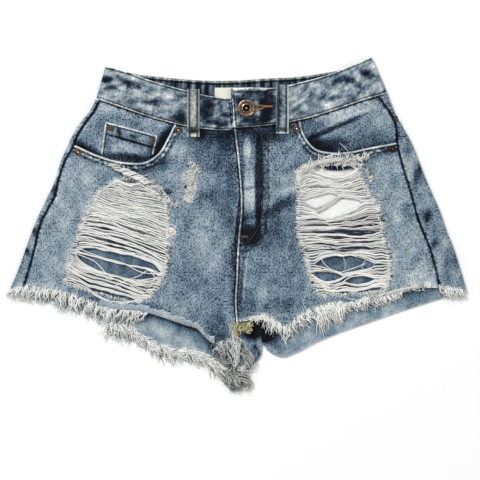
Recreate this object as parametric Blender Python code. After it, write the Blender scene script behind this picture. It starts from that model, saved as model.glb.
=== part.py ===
"""Cut-off denim shorts with ripped fronts, lying flat on their back.

The plan is drawn in millimetres: x runs across the shorts, y runs up to the
waist and z up from the surface they lie on. "Left" and "right" are the left
and the right of that plan. Every piece of cloth is a wall over its own plan,
so the stack from the back pockets up to the belt loops is a set of height
functions, and a piece that lies on another reads the height of the one below.
"""
import math
from collections import namedtuple

import bmesh
import bpy
import numpy as np

MM = 0.001

# Thickness of the cloth
DENIM = 1.2
POCKETING = 1.0
BAND = 2.4
STRAP = 1.2
LABEL = 1.0

# Clearances
SEAM = 0.3
LAYER = 0.4

# Height of the undersides of the front layers
FRONT_LEVEL = 4.9
MOUTH_RISE = 1.4
FLY_RISE = 1.4
LAP_RISE = 0.7
BAND_LEVEL = 5.4
BAND_LAP_RISE = BAND + LAYER
BAND_LAP_X = 32       # the right end of the band lies fully on the left end up to here
BAND_LAP_FADE = 45
BAG_LEVEL = 2.8

# Underside: pockets and loops lie on the table and lift the back over them
UNDER_PIECE = 1.0
BACK_LIFT = UNDER_PIECE + LAYER
LIFT_MARGIN = 3.0     # the back stays lifted this far beyond what it covers

YOKE_END = 0.22       # share of the side length taken by the yoke
MOUTH_AT = 0.25       # share of the side length where the pocket mouth starts
FOLD_STEPS = 5
BAND_ROWS = 4
HIDDEN_END_X = -14    # from here on the left end of the band is narrower, under the right end

Zone = namedtuple("Zone", "x0 y0 x1 y1 fade")
Crease = namedtuple("Crease", "x1 y1 x2 y2 width depth")
RipRow = namedtuple("RipRow", "v x_left y_left x_right y_right bow")
Gap = namedtuple("Gap", "v u_start u_end height")
Fringe = namedtuple("Fringe", "name strands thickness tip_z")
Finish = namedtuple("Finish", "colour roughness metallic")

FINISHES = {
    "denim": Finish((0.30, 0.40, 0.52), 0.85, 0.0),
    "denim_inside": Finish((0.38, 0.47, 0.57), 0.88, 0.0),
    "denim_dark": Finish((0.10, 0.15, 0.26), 0.85, 0.0),
    "threads": Finish((0.80, 0.78, 0.73), 0.9, 0.0),
    "cotton": Finish((0.87, 0.87, 0.86), 0.9, 0.0),
    "copper": Finish((0.36, 0.19, 0.12), 0.42, 1.0),
}

# ------------------------------------------------------------------ the plan

# Waistband: x and y of its top edge, x and y of its lower edge
BAND_FRONT_LEFT = (
    (-154, 187, -165, 149),
    (-125, 179, -134, 138.5),
    (-102, 170.5, -108, 129.5),
    (-80, 164, -86, 123),
    (-58.5, 158, -64, 117.5),
    (-27, 151, -31, 113),
    (-14, 149.5, -14, 112),
    (-8, 149.5, -8, 113),
    (-2, 150, -2, 117),
    (29, 151, 29, 118.5),
)
BAND_FRONT_RIGHT = (
    (157.5, 198, 175.5, 156),
    (129, 185.5, 144, 146),
    (102, 175.5, 113.5, 135.5),
    (74, 168, 80.5, 125.5),
    (45, 161.5, 46, 119),
    (15, 162, 15, 116),
    (-7.5, 160.5, -3.5, 115),
)
BAND_BACK = (
    (-154, 187, -165, 149),
    (-125, 179.5, -132, 139.5),
    (-98, 175.5, -103, 135.5),
    (-67, 172.5, -69, 133),
    (-36, 170.5, -36.5, 131),
    (2, 170.5, 2, 130.5),
    (34, 173, 36, 133),
    (67, 174.5, 71, 134.5),
    (95, 178, 103, 139),
    (126, 184.5, 140, 147),
    (157.5, 198, 175.5, 156),
)

# Lines of the body: x, y
LEFT_FOLD = ((-165.5, 148), (-171, 137), (-187, 116), (-198, 95), (-207, 74), (-216, 46),
             (-223, 32), (-236, 4), (-247, -25), (-257, -53), (-267, -76))
LEFT_SEAM = ((-161, 146.5), (-167, 134.5), (-177, 121), (-188, 103), (-190.5, 95.5), (-201, 76),
             (-209, 53), (-212.5, 36), (-222, 19), (-230, 2), (-236.5, -25), (-250, -72.5))
RIGHT_FOLD = ((176, 155), (180, 144), (186, 130), (194, 116), (202, 102), (211, 81), (219, 60),
              (228, 39), (237.5, 17.5), (244.5, -3.5), (253, -24.5), (260, -46), (268.5, -75))
RIGHT_SEAM = ((165.5, 151), (179.5, 131), (186, 117), (187, 100.5), (194, 69), (202.5, 42),
              (212, 8), (223.5, -21), (234, -56), (237, -72.5))
BACK_SEAM = ((2, 130), (3, 60), (6, 0), (14, -70), (30, -138.5))
FLY_X = -3.5
FLY_EDGE = ((1, 76), (4.5, 26), (4.5, 16), (2, -9), (0, -35), (-1, -63),
            (-2.5, -87), (-1, -112))

LEFT_MOUTH = ((-161, 82), (-143, 76.5), (-125, 74), (-107, 75), (-91, 86), (-82, 101),
              (-75, 115))
RIGHT_MOUTH = ((75.5, 114), (80.5, 103), (91, 91), (111, 86), (129, 86.5), (147, 90), (167, 94))
LEFT_MOUTH_TOP_X = -73
RIGHT_MOUTH_TOP_X = 74

LEFT_FRONT_HEM = ((-230, -75), (-209, -78), (-184, -86.5), (-161.5, -93.5), (-137, -98),
                  (-112, -100), (-90, -106), (-61, -116), (-46, -121), (-38.5, -129),
                  (-29, -137), (-17.5, -138.5), (-7, -131))
RIGHT_FRONT_HEM = ((10.5, -111), (22, -107.5), (33, -105), (42, -111), (54, -119), (62, -118),
                   (70, -109), (81, -102), (97, -97), (118, -91.5), (132, -92), (148.5, -86.5),
                   (167, -83), (195, -76), (219, -72))
LEFT_BACK_HEM = ((28, -152), (18, -163), (5, -168), (-10, -168), (-27, -160), (-44.5, -149),
                 (-74, -146), (-101, -137), (-125, -119), (-152, -112), (-190, -99), (-230, -88))
RIGHT_BACK_HEM = ((36, -146), (44.5, -151.5), (54, -154), (66.5, -149.5), (90, -137),
                  (132, -121), (179.5, -104), (214, -93), (233, -87), (251, -81.5))

# Raised areas of the fronts: pocket mouths with their facings, and the fly
MOUTH_ZONES = (Zone(-190, 52, -60, 125, 35), Zone(60, 62, 190, 130, 35))
FLY_ZONE = Zone(-15, -5, 34, 125, 30)

# Back pockets: corners of the zone that they fill under the back
BACK_POCKET_ZONES = {"left": Zone(-160, -72, -42, 64, 28), "right": Zone(48, -72, 166, 64, 28)}
BACK_POCKET_POINT = 24      # how far the pocket's sides end above its point
BACK_LOOPS = {"left": (-85, 171), "middle": (2, 168), "right": (88, 173)}
LOOP_WIDTH = 14.5
BACK_LOOP_LENGTH = 50
BACK_LOOP_FADE = 25

# Soft troughs of the front layers
CREASES = (
    Crease(26, 104, 29, -12, 7, 0.8),
    Crease(29, 8, 78, 38, 8, 0.7),
    Crease(82, 100, 150, 133, 9, 0.6),
    Crease(-30, -78, -10, -132, 11, 0.8),
    Crease(14, -108, 74, -64, 8, 0.7),
    Crease(-12, -30, -60, -66, 12, 0.5),
    Crease(196, 40, 214, -30, 10, 0.5),
    Crease(-214, 10, -222, -50, 9, 0.5),
)

LEFT_RIP = (
    RipRow(0.00, -139, 52, -102, 46, 6),
    RipRow(0.11, -157, 42, -92, 36, 3),
    RipRow(0.22, -167, 27, -84, 22, 0),
    RipRow(0.33, -174, 14, -83, 8, -1),
    RipRow(0.44, -180, 0, -84, -9, -1),
    RipRow(0.55, -184, -12, -82, -26, -1),
    RipRow(0.66, -186, -27, -85, -49, -1),
    RipRow(0.77, -190, -35, -92, -64, -1),
    RipRow(0.88, -195, -49, -103, -79, -1),
    RipRow(1.00, -199, -66, -114, -90, -1),
)
LEFT_GAPS = (
    Gap(0.00, 0.10, 0.60, 7),
    Gap(0.52, 0.10, 0.95, 4.5),
    Gap(0.68, 0.14, 0.95, 8),
    Gap(0.76, 0.06, 0.95, 11),
    Gap(0.97, 0.30, 0.90, 4.5),
)
RIGHT_RIP = (
    RipRow(0.00, 79.5, 64, 140, 69, 5),
    RipRow(0.10, 73, 52.5, 145, 54, 2),
    RipRow(0.20, 73.5, 40, 153, 38.5, -1),
    RipRow(0.30, 73.5, 24.5, 162.5, 25.5, -2),
    RipRow(0.40, 72.5, 9.5, 167, 11.5, -2),
    RipRow(0.50, 73.5, -4.5, 168.5, -3.5, -1),
    RipRow(0.60, 76, -18.5, 171, -18.5, -1),
    RipRow(0.70, 82, -33, 175.5, -34, 0),
    RipRow(0.80, 85, -48, 176.5, -48, -3),
    RipRow(0.90, 89, -63, 176.5, -62, -2),
    RipRow(1.00, 97, -79, 173, -74.5, -1),
)
RIGHT_GAPS = (
    Gap(0.00, 0.28, 0.92, 12),
    Gap(0.24, 0.10, 0.50, 8),
    Gap(0.32, 0.26, 0.76, 11),
    Gap(0.50, 0.45, 0.92, 4.5),
    Gap(0.75, 0.18, 0.86, 13),
    Gap(0.84, 0.08, 0.42, 7),
    Gap(0.90, 0.50, 0.80, 4.5),
    Gap(0.98, 0.26, 0.92, 4.5),
)
THREAD_PITCH = 4.2          # one ridge and its furrow are two of these
THREAD_SPREAD = 3.5         # rows over which a gap pushes its neighbours aside
THREAD_COLUMNS = 11
THREAD_RIB = 0.25
THREAD_SHEET = 1.0
CUTTER_LOW, CUTTER_HIGH = 1.5, 12.0

# Fringe: the strip that carries the strands lies beside the cloth's edge
STRIP_NEAR, STRIP_FAR = 0.5, 2.6

THREAD_LIFT = 0.1           # thread sheets and strips lie this much higher than the cloth beside them
LOOP_STEP = 7               # length over which a belt loop steps down from the band to the front
HEM_ROLL_WIDTH = 7.5
POCKET_TAPER = 7            # how much a back pocket narrows on each side

BUTTON_AT = (11, 137.5)
BUTTON_RADIUS = 10.3
RIVETS = {"left_side": (-185.5, 86), "left_band": (-68.5, 112),
          "right_band": (70, 113.5), "right_side": (182, 90)}
RIVET_RADIUS = 4.2
FRONT_LOOPS = {"left": (-51, 160, 104), "right": (53, 165, 108)}   # x, top, bottom


# --------------------------------------------------------------------- lines

def spline(knots, points):
    """Smooth line through points that stand at the given knots."""
    knots = np.asarray(knots, float)
    points = np.asarray(points, float)
    steps = np.diff(knots)
    slopes = np.diff(points, axis=0) / steps[:, None]
    share = (steps[:-1] / (steps[:-1] + steps[1:]))[:, None]
    tangents = np.vstack([slopes[:1], slopes[:-1] * (1 - share) + slopes[1:] * share, slopes[-1:]])

    def at(t):
        t = np.asarray(t, float)
        i = np.clip(np.searchsorted(knots, t, side="right") - 1, 0, len(steps) - 1)
        step = steps[i][..., None]
        s = (t - knots[i])[..., None] / step
        return ((1 + 2 * s) * (1 - s) ** 2 * points[i] + s * (1 - s) ** 2 * step * tangents[i]
                + s * s * (3 - 2 * s) * points[i + 1] - s * s * (1 - s) * step * tangents[i + 1])
    return at


def chord_knots(points):
    lengths = np.linalg.norm(np.diff(np.asarray(points, float), axis=0), axis=1)
    return np.concatenate([[0], np.cumsum(lengths)]) / lengths.sum()


def curve(points):
    """Smooth line through points, 0 at the first and 1 at the last."""
    return spline(chord_knots(points), points)


def polyline(points):
    """Straight lines through points, 0 at the first and 1 at the last."""
    points = np.asarray(points, float)
    knots = chord_knots(points)

    def at(t):
        return np.stack([np.interp(t, knots, points[:, k]) for k in (0, 1)], axis=-1)
    return at


def joined(first, second, split):
    """One line made of two that meet at a corner."""
    def at(t):
        t = np.asarray(t, float)
        before = first(np.clip(t / split, 0, 1))
        after = second(np.clip((t - split) / (1 - split), 0, 1))
        return np.where((t < split)[..., None], before, after)
    return at


def part_of(line, start, end):
    return lambda t: line(start + (end - start) * np.asarray(t, float))


def moved(line, dx, dy=0.0):
    return lambda t: line(t) + np.array([dx, dy])


def y_over_x(line):
    samples = line(np.linspace(0, 1, 300))
    samples = samples[np.argsort(samples[:, 0])]
    return lambda x: np.interp(x, samples[:, 0], samples[:, 1])


def split_steps(split, first, second):
    """Grid steps with a line exactly on the corner at split."""
    return np.concatenate([np.linspace(0, split, first + 1), np.linspace(split, 1, second + 1)[1:]])


def patch(top, bottom, start, end, us, vs):
    """Plan grid between four lines: rows run from top to bottom."""
    u = np.asarray(us, float)[None, :, None]
    v = np.asarray(vs, float)[:, None, None]
    corners = (1 - v) * ((1 - u) * top(0.0) + u * top(1.0)) \
        + v * ((1 - u) * bottom(0.0) + u * bottom(1.0))
    return ((1 - v) * top(us)[None] + v * bottom(us)[None]
            + (1 - u) * start(vs)[:, None] + u * end(vs)[:, None] - corners)


# ------------------------------------------------------------------- heights

def ramp(distance, width):
    """1 up to distance 0, falling softly to 0 at width."""
    t = np.clip(1 - distance / width, 0, 1)
    return t * t * (3 - 2 * t)


def in_zone(x, y, zone):
    dx = np.maximum(np.maximum(zone.x0 - x, x - zone.x1), 0)
    dy = np.maximum(np.maximum(zone.y0 - y, y - zone.y1), 0)
    return ramp(np.hypot(dx, dy), zone.fade)


def level(z):
    """Height function of a flat layer."""
    return lambda x, y: np.full_like(x, z, dtype=float)


def widened(zone, margin):
    return Zone(zone.x0 - margin, zone.y0 - margin, zone.x1 + margin, zone.y1 + margin, zone.fade)


def crease_depth(x, y):
    depth = np.zeros_like(x)
    for c in CREASES:
        run = np.array([c.x2 - c.x1, c.y2 - c.y1])
        length = np.hypot(*run)
        along = ((x - c.x1) * run[0] + (y - c.y1) * run[1]) / length ** 2
        across = ((x - c.x1) * run[1] - (y - c.y1) * run[0]) / length
        depth += c.depth * np.exp(-(across / c.width) ** 2) * np.sin(np.pi * np.clip(along, 0, 1))
    return depth


def front_under(x, y):
    mouths = np.maximum(*[in_zone(x, y, zone) for zone in MOUTH_ZONES])
    rise = np.maximum(MOUTH_RISE * mouths, FLY_RISE * in_zone(x, y, FLY_ZONE))
    return FRONT_LEVEL + rise - crease_depth(x, y)


def beside_front(x, y):
    """Underside of what fills a rip or hangs from the edge of a front."""
    return front_under(x, y) + THREAD_LIFT


def lapped_front_under(x, y):
    """The right front, which laps over the left one at the fly."""
    return front_under(x, y) + LAP_RISE * in_zone(x, y, FLY_ZONE)


def facing_under(x, y):
    return front_under(x, y) - LAYER - POCKETING


def coin_pocket_under(x, y):
    return facing_under(x, y) + POCKETING + SEAM


def underlap_under(x, y):
    return front_under(x, y) - LAYER - DENIM


def loop_zone(name):
    x, top = BACK_LOOPS[name]
    half = LOOP_WIDTH / 2
    return Zone(x - half, top - BACK_LOOP_LENGTH, x + half, top, BACK_LOOP_FADE)


def back_lift(x, y):
    zones = list(BACK_POCKET_ZONES.values()) + [loop_zone(name) for name in BACK_LOOPS]
    return BACK_LIFT * np.max([in_zone(x, y, widened(zone, LIFT_MARGIN)) for zone in zones], axis=0)


def band_front_left(x, y):
    return np.full_like(x, BAND_LEVEL)


def band_front_right(x, y):
    """Underside of the right end of the band, which rises over the left end."""
    return BAND_LEVEL + BAND_LAP_RISE * ramp(x - BAND_LAP_X, BAND_LAP_FADE)


# --------------------------------------------------------------------- walls

shorts = None        # the empty that carries every piece


def finish_material(name):
    if name in bpy.data.materials:
        return bpy.data.materials[name]
    finish = FINISHES[name]
    material = bpy.data.materials.new(name)
    material.use_nodes = True
    shader = material.node_tree.nodes["Principled BSDF"]
    shader.inputs["Base Color"].default_value = (*finish.colour, 1.0)
    shader.inputs["Roughness"].default_value = finish.roughness
    shader.inputs["Metallic"].default_value = finish.metallic
    return material


def add_piece(name, points, faces, finish, location=(0, 0, 0)):
    """One named object from points in millimetres, its faces turned outwards."""
    mesh = bpy.data.meshes.new(name)
    mesh.from_pydata([tuple(np.asarray(p, float) * MM) for p in points], [], faces)
    shaped = bmesh.new()
    shaped.from_mesh(mesh)
    bmesh.ops.recalc_face_normals(shaped, faces=shaped.faces)
    shaped.to_mesh(mesh)
    shaped.free()
    mesh.materials.append(finish_material(finish))
    piece = bpy.data.objects.new(name, mesh)
    piece.location = [c * MM for c in location]
    piece.parent = shorts
    bpy.context.collection.objects.link(piece)
    return piece


def lift(plan, height):
    """Plan grid raised to a height function of x and y."""
    x, y = plan[..., 0], plan[..., 1]
    return np.stack([x, y, height(x, y) * np.ones_like(x)], axis=-1)


def wall(name, under, over, finish, keep=None):
    """Closed wall between two grids of points; cells that keep leaves out are holes."""
    rows, columns = under.shape[0] - 1, under.shape[1] - 1
    if keep is None:
        keep = np.ones((rows, columns), bool)
    index = {}
    points = []

    def point(side, i, j):
        key = (side, i, j)
        if key not in index:
            index[key] = len(points)
            points.append((over if side else under)[i, j])
        return index[key]

    faces = []
    for i in range(rows):
        for j in range(columns):
            if not keep[i, j]:
                continue
            ring = ((i, j), (i + 1, j), (i + 1, j + 1), (i, j + 1))
            beside = ((i, j - 1), (i + 1, j), (i, j + 1), (i - 1, j))
            faces.append([point(1, *corner) for corner in ring])
            faces.append([point(0, *corner) for corner in reversed(ring)])
            for k, (bi, bj) in enumerate(beside):
                inside = 0 <= bi < rows and 0 <= bj < columns and keep[bi, bj]
                if not inside:
                    a, b = ring[k], ring[(k + 1) % 4]
                    faces.append([point(1, *a), point(0, *a), point(0, *b), point(1, *b)])
    return add_piece(name, points, faces, finish)


def rectangle(x0, y0, x1, y1, columns, rows):
    """Plan grid over a rectangle, its rows from y1 down to y0."""
    x, y = np.meshgrid(np.linspace(x0, x1, columns + 1), np.linspace(y1, y0, rows + 1))
    return np.stack([x, y], axis=-1)


def layer(name, plan, height, thickness, finish):
    """Cloth that lies over a plan, its underside at a height function."""
    under = lift(plan, height)
    return wall(name, under, under + [0, 0, thickness], finish)


def thickened(middle, thickness):
    """The two faces of a wall round a grid of middle points that may fold over."""
    across = np.gradient(middle, axis=1)
    down = np.gradient(middle, axis=0)
    normal = np.cross(across, down)
    normal /= np.linalg.norm(normal, axis=2, keepdims=True)
    return middle - normal * thickness / 2, middle + normal * thickness / 2


def fold(outer, inward, radius, thickness):
    """Middle points round a fold: columns from the underside to the top."""
    angles = np.linspace(0, np.pi, FOLD_STEPS + 1)[None, :, None]
    radius = np.asarray(radius, float)[:, None, None]
    reach = radius - thickness / 2
    plan = outer[:, None] + inward[:, None] * (radius - reach * np.sin(angles))
    return np.concatenate([plan, radius - reach * np.cos(angles)], axis=-1)


def turned(name, centre, base_z, profile, steps, finish):
    """Round piece from a profile of radius and height, closed on its axis."""
    points = [(0, 0, profile[0][1])]
    for radius, z in profile[1:-1]:
        for k in range(steps):
            angle = 2 * math.pi * k / steps
            points.append((radius * math.cos(angle), radius * math.sin(angle), z))
    points.append((0, 0, profile[-1][1]))
    rings = len(profile) - 2
    last = len(points) - 1
    faces = []
    for k in range(steps):
        n = (k + 1) % steps
        faces.append([0, 1 + n, 1 + k])
        for r in range(rings - 1):
            a, b = 1 + r * steps, 1 + (r + 1) * steps
            faces.append([a + k, a + n, b + n, b + k])
        end = 1 + (rings - 1) * steps
        faces.append([end + k, end + n, last])
    piece = add_piece(name, points, faces, finish, location=(*centre, base_z))
    piece.data.shade_smooth()
    piece.data.set_sharp_from_angle(angle=math.radians(40))
    return piece


# ----------------------------------------------------------------- waistband

def band_run(table, count, height, width_steps):
    """Middle grid of one run of the band: rows across its width, columns along it."""
    edges = spline(chord_knots(np.asarray(table)[:, :2]), table)(np.linspace(0, 1, count))
    share = np.linspace(0, 1, width_steps)[:, None, None]
    plan = edges[None, :, :2] * (1 - share) + edges[None, :, 2:] * share
    return lift(plan, lambda x, y: height(x, y) + BAND / 2)


def band_fold(corner, side, width_steps):
    """Fold of the band at one side; corner is a row of the band's table."""
    top, low = np.array(corner[:2], float), np.array(corner[2:], float)
    share = np.linspace(0, 1, width_steps)[:, None]
    outer = top * (1 - share) + low * share
    down = (low - top) / np.linalg.norm(low - top)
    inward = np.tile(np.array([-down[1], down[0]]) * -side, (width_steps, 1))
    radius = np.full(width_steps, (BAND_LEVEL + BAND) / 2)
    return fold(outer, inward, radius, BAND), inward[0] * radius[0]


def shifted_start(table, shift):
    first = tuple(np.asarray(table[0], float) + np.tile(shift, 2))
    return (first,) + tuple(table[1:])


def band_runs():
    """Middle grids of the band: front left, under the back, front right, and the two folds."""
    left_fold, left_in = band_fold(BAND_FRONT_LEFT[0], -1, BAND_ROWS)
    right_fold, right_in = band_fold(BAND_FRONT_RIGHT[0], 1, BAND_ROWS)
    back = shifted_start(BAND_BACK, left_in)
    back = shifted_start(back[::-1], right_in)[::-1]
    return {
        "front_left": band_run(shifted_start(BAND_FRONT_LEFT, left_in), 14, band_front_left,
                               BAND_ROWS),
        "front_right": band_run(shifted_start(BAND_FRONT_RIGHT, right_in), 16, band_front_right,
                                BAND_ROWS),
        "back": band_run(back, 17, back_lift, BAND_ROWS),
        "left_fold": left_fold,
        "right_fold": right_fold,
    }


def waistband():
    runs = band_runs()
    middle = np.concatenate([runs["front_left"][:, ::-1], runs["left_fold"][:, ::-1][:, 1:-1],
                             runs["back"], runs["right_fold"][:, 1:-1], runs["front_right"]], axis=1)
    wall("waistband", *thickened(middle, BAND), "denim")


def waist_seam(run, clearance=0.4):
    """y of the line just under the lower edge of one run of the band."""
    line = y_over_x(polyline(band_runs()[run][-1, :, :2]))
    last = HIDDEN_END_X if run == "front_left" else np.inf
    return lambda x: line(np.minimum(x, last)) - clearance


def seam_stretch(run, x_start, x_end):
    seam = waist_seam(run)

    def at(t):
        x = x_start + (x_end - x_start) * np.asarray(t, float)
        return np.stack([x, seam(x)], axis=-1)
    return at


# -------------------------------------------------------------- yoke and back

def inward_of(line, vs, side):
    """Unit vectors across a side line, towards the middle of the shorts."""
    run = line(np.clip(vs + 0.01, 0, 1)) - line(np.clip(vs - 0.01, 0, 1))
    run /= np.linalg.norm(run, axis=1, keepdims=True)
    return np.stack([-run[:, 1], run[:, 0]], axis=1) * -side


def back_grid(side, fold_line, seam_line, hem, vs):
    """Middle grid of the back from the centre seam, round the fold, to the side seam."""
    def fold_in(t):
        t = np.atleast_1d(np.asarray(t, float))
        outer = fold_line(t)
        radius = (front_under(outer[:, 0], outer[:, 1]) + DENIM) / 2
        return outer + inward_of(fold_line, t, side) * radius[:, None]

    outer = fold_line(vs)
    radius = (front_under(outer[:, 0], outer[:, 1]) + DENIM) / 2
    round_fold = fold(outer, inward_of(fold_line, vs, side), radius, DENIM)
    centre = moved(curve(BACK_SEAM), side * SEAM / 2)
    corner_top, corner_hem = fold_in(0.0)[0], fold_in(1.0)[0]
    seam = waist_seam("back")
    waist_x = np.linspace(2 + side * SEAM / 2, corner_top[0], 12)
    waist = curve([(x, seam(x)) for x in waist_x[:-1]] + [tuple(corner_top)])
    hem_line = curve([tuple(centre(1.0))] + list(hem) + [tuple(corner_hem)])
    flat = patch(waist, hem_line, centre, fold_in, np.linspace(0, 1, 13), vs)
    under = lift(flat, lambda x, y: back_lift(x, y) + DENIM / 2)
    inner = fold_in(vs)
    edge = seam_line(vs) + inward_of(seam_line, vs, -side) * SEAM / 2
    share = np.linspace(0, 1, 3)[None, 1:, None]
    flap = lift(inner[:, None] * (1 - share) + edge[:, None] * share,
                lambda x, y: front_under(x, y) + DENIM / 2)
    return np.concatenate([under, round_fold[:, 1:], flap], axis=1)


def yoke_and_back(name, side, fold_line, seam_line, hem):
    yoke_rows = np.linspace(0, YOKE_END, 5)
    back_rows = np.concatenate([[YOKE_END + SEAM / 250], np.linspace(MOUTH_AT, 1, 16)])
    yoke = back_grid(side, fold_line, seam_line, hem, yoke_rows)
    back = back_grid(side, fold_line, seam_line, hem, back_rows)
    wall(f"yoke_{name}", *thickened(yoke, DENIM), "denim")
    wall(f"back_{name}", *thickened(back, DENIM), "denim")
    return back


def back_pocket(name):
    """Five-cornered pocket flat on the table, under the lifted back."""
    zone = BACK_POCKET_ZONES[name]
    middle = (zone.x0 + zone.x1) / 2
    side_end = zone.y0 + BACK_POCKET_POINT
    bottom = joined(polyline([(zone.x0 + POCKET_TAPER, side_end), (middle, zone.y0)]),
                    polyline([(middle, zone.y0), (zone.x1 - POCKET_TAPER, side_end)]), 0.5)
    plan = patch(polyline([(zone.x0, zone.y1), (zone.x1, zone.y1)]), bottom,
                 polyline([(zone.x0, zone.y1), (zone.x0 + POCKET_TAPER, side_end)]),
                 polyline([(zone.x1, zone.y1), (zone.x1 - POCKET_TAPER, side_end)]),
                 np.linspace(0, 1, 5), np.linspace(0, 1, 4))
    layer(f"back_pocket_{name}", plan, level(0), UNDER_PIECE, "denim")


def back_loop(name):
    zone = loop_zone(name)
    plan = rectangle(zone.x0, zone.y0, zone.x1, zone.y1, 2, 4)
    layer(f"belt_loop_back_{name}", plan, level(0), UNDER_PIECE, "denim")


# -------------------------------------------------------------------- fronts

def fly_line(run, clearance):
    """Edge of the fly from the waist seam of one run down to the crotch."""
    top = (FLY_X, float(waist_seam(run)(FLY_X)))
    return moved(curve((top,) + FLY_EDGE), clearance)


def front_left_plan(seam_line):
    split = 0.6
    mouth = curve([tuple(seam_line(MOUTH_AT) + [SEAM / 2, 0])] + list(LEFT_MOUTH)
                  + [(LEFT_MOUTH_TOP_X, waist_seam("front_left")(LEFT_MOUTH_TOP_X))])
    waist = seam_stretch("front_left", LEFT_MOUTH_TOP_X, FLY_X - SEAM / 2)
    side = moved(part_of(seam_line, MOUTH_AT, 1.0), SEAM / 2)
    fly = fly_line("front_left", -SEAM / 2)
    hem = curve([tuple(side(1.0))] + list(LEFT_FRONT_HEM) + [tuple(fly(1.0))])
    return patch(joined(mouth, waist, split), hem, side, fly, split_steps(split, 11, 8),
                 np.linspace(0, 1, 16))


def front_right_plan(seam_line):
    split = 0.36
    seam = waist_seam("front_right")
    waist = seam_stretch("front_right", FLY_X + SEAM / 2, RIGHT_MOUTH_TOP_X)
    mouth = curve([(RIGHT_MOUTH_TOP_X, seam(RIGHT_MOUTH_TOP_X))] + list(RIGHT_MOUTH)
                  + [tuple(seam_line(MOUTH_AT) - [SEAM / 2, 0])])
    fly = fly_line("front_right", SEAM / 2)
    side = moved(part_of(seam_line, MOUTH_AT, 1.0), -SEAM / 2)
    hem = curve([tuple(fly(1.0))] + list(RIGHT_FRONT_HEM) + [tuple(side(1.0))])
    return patch(joined(waist, mouth, split), hem, fly, side, split_steps(split, 8, 11),
                 np.linspace(0, 1, 16))


# ---------------------------------------------------------------------- rips

def rip_points(table, us, vs):
    """Plan grid over a rip: rows run along the threads."""
    rows = spline([row.v for row in table], [row[1:] for row in table])(np.asarray(vs, float))
    u = np.asarray(us, float)[None, :, None]
    left, right, bow = rows[:, None, 0:2], rows[:, None, 2:4], rows[:, None, 4:5]
    plan = left * (1 - u) + right * u
    plan[..., 1:2] += bow * 4 * u * (1 - u)
    return plan


def rip_steps(table, clearance):
    """Steps across and down a rip, its rim drawn in by a clearance."""
    height = table[0].y_left - table[-1].y_left
    width = table[4].x_right - table[4].x_left
    rows = round(height / THREAD_PITCH)
    return (np.linspace(clearance / width, 1 - clearance / width, THREAD_COLUMNS + 1),
            np.linspace(clearance / height, 1 - clearance / height, rows + 1))


def rip_cutter(name, table, front):
    """Prism through the front in the outline of the rip."""
    plan = rip_points(table, *rip_steps(table, 0.0))
    outline = np.concatenate([plan[:, 0], plan[-1, 1:], plan[-2::-1, -1], plan[0, -2:0:-1]])
    count = len(outline)
    points = [(x, y, z) for z in (CUTTER_LOW, CUTTER_HIGH) for x, y in outline]
    faces = [[k, (k + 1) % count, count + (k + 1) % count, count + k] for k in range(count)]
    faces += [list(range(count)), list(range(count, 2 * count))]
    cutter = add_piece(f"cutter_{name}", points, faces, "denim")
    cutter.hide_render = True
    cutter.display_type = "WIRE"
    cut = front.modifiers.new("rip", "BOOLEAN")
    cut.operation = "DIFFERENCE"
    cut.object = cutter


def rip_threads(name, table, gaps):
    """Ribbed sheet of the threads left across a rip, pushed apart into gaps."""
    us, vs = rip_steps(table, SEAM)
    plan = rip_points(table, us, vs)
    rows = len(vs) - 1
    keep = np.ones((rows, THREAD_COLUMNS), bool)
    line = np.arange(rows + 1)
    inner = ((line > 0) & (line < rows)).astype(float)
    middles = (us[:-1] + us[1:]) / 2
    for gap in gaps:
        row = min(int(gap.v * rows), rows - 1)
        share = np.clip((us - gap.u_start) / (gap.u_end - gap.u_start), 0, 1)
        lens = np.sin(np.pi * share)[None, :]
        away = np.abs(line - row - 0.5) - 0.5
        push = np.sign(row + 0.5 - line) * inner * np.exp(-away / THREAD_SPREAD)
        at_edge = row in (0, rows - 1)
        plan[..., 1] += push[:, None] * lens * gap.height / (1 if at_edge else 2)
        keep[row] &= ~((middles > gap.u_start) & (middles < gap.u_end))
    under = lift(plan, beside_front)
    rib = THREAD_RIB * (-1.0) ** line
    over = under + [0, 0, THREAD_SHEET]
    over[..., 2] += rib[:, None]
    wall(f"rip_threads_{name}", under, over, "threads", keep)


# ------------------------------------------------------------------- pockets

def pocket_facing_left(seam_line):
    x_end = -58
    side = moved(part_of(seam_line, 0.0, 0.29), 0.6)
    top = seam_stretch("front_left", side(0.0)[0], x_end)
    bottom = curve([tuple(side(1.0)), (-166, 62), (-127, 52), (-98, 55), (-74, 76), (x_end + 2, 98)])
    end = curve([tuple(top(1.0)), (x_end + 2, 98)])
    plan = patch(top, bottom, side, end, np.linspace(0, 1, 10), np.linspace(0, 1, 8))
    layer("pocket_facing_left", plan, facing_under, POCKETING, "denim")


def pocket_facing_right(seam_line):
    x_start = 58
    side = moved(part_of(seam_line, 0.0, 0.29), -0.6)
    top = seam_stretch("front_right", x_start, side(0.0)[0])
    bottom = curve([(x_start - 2, 104), (78, 80), (105, 66), (140, 68), (168, 76), tuple(side(1.0))])
    start = curve([tuple(top(0.0)), (x_start - 2, 104)])
    plan = patch(top, bottom, start, side, np.linspace(0, 1, 10), np.linspace(0, 1, 8))
    layer("pocket_facing_right", plan, facing_under, POCKETING, "denim")


def coin_pocket():
    top = curve([(-154, 122), (-124, 114), (-93, 105.5)])
    bottom = curve([(-159, 84.5), (-143, 79), (-125, 76.5), (-108, 77.5), (-98, 84)])
    start = polyline([(-154, 122), (-159, 84.5)])
    end = polyline([(-93, 105.5), (-98, 84)])
    plan = patch(top, bottom, start, end, np.linspace(0, 1, 8), np.linspace(0, 1, 5))
    layer("coin_pocket", plan, coin_pocket_under, POCKETING, "denim")


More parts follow.
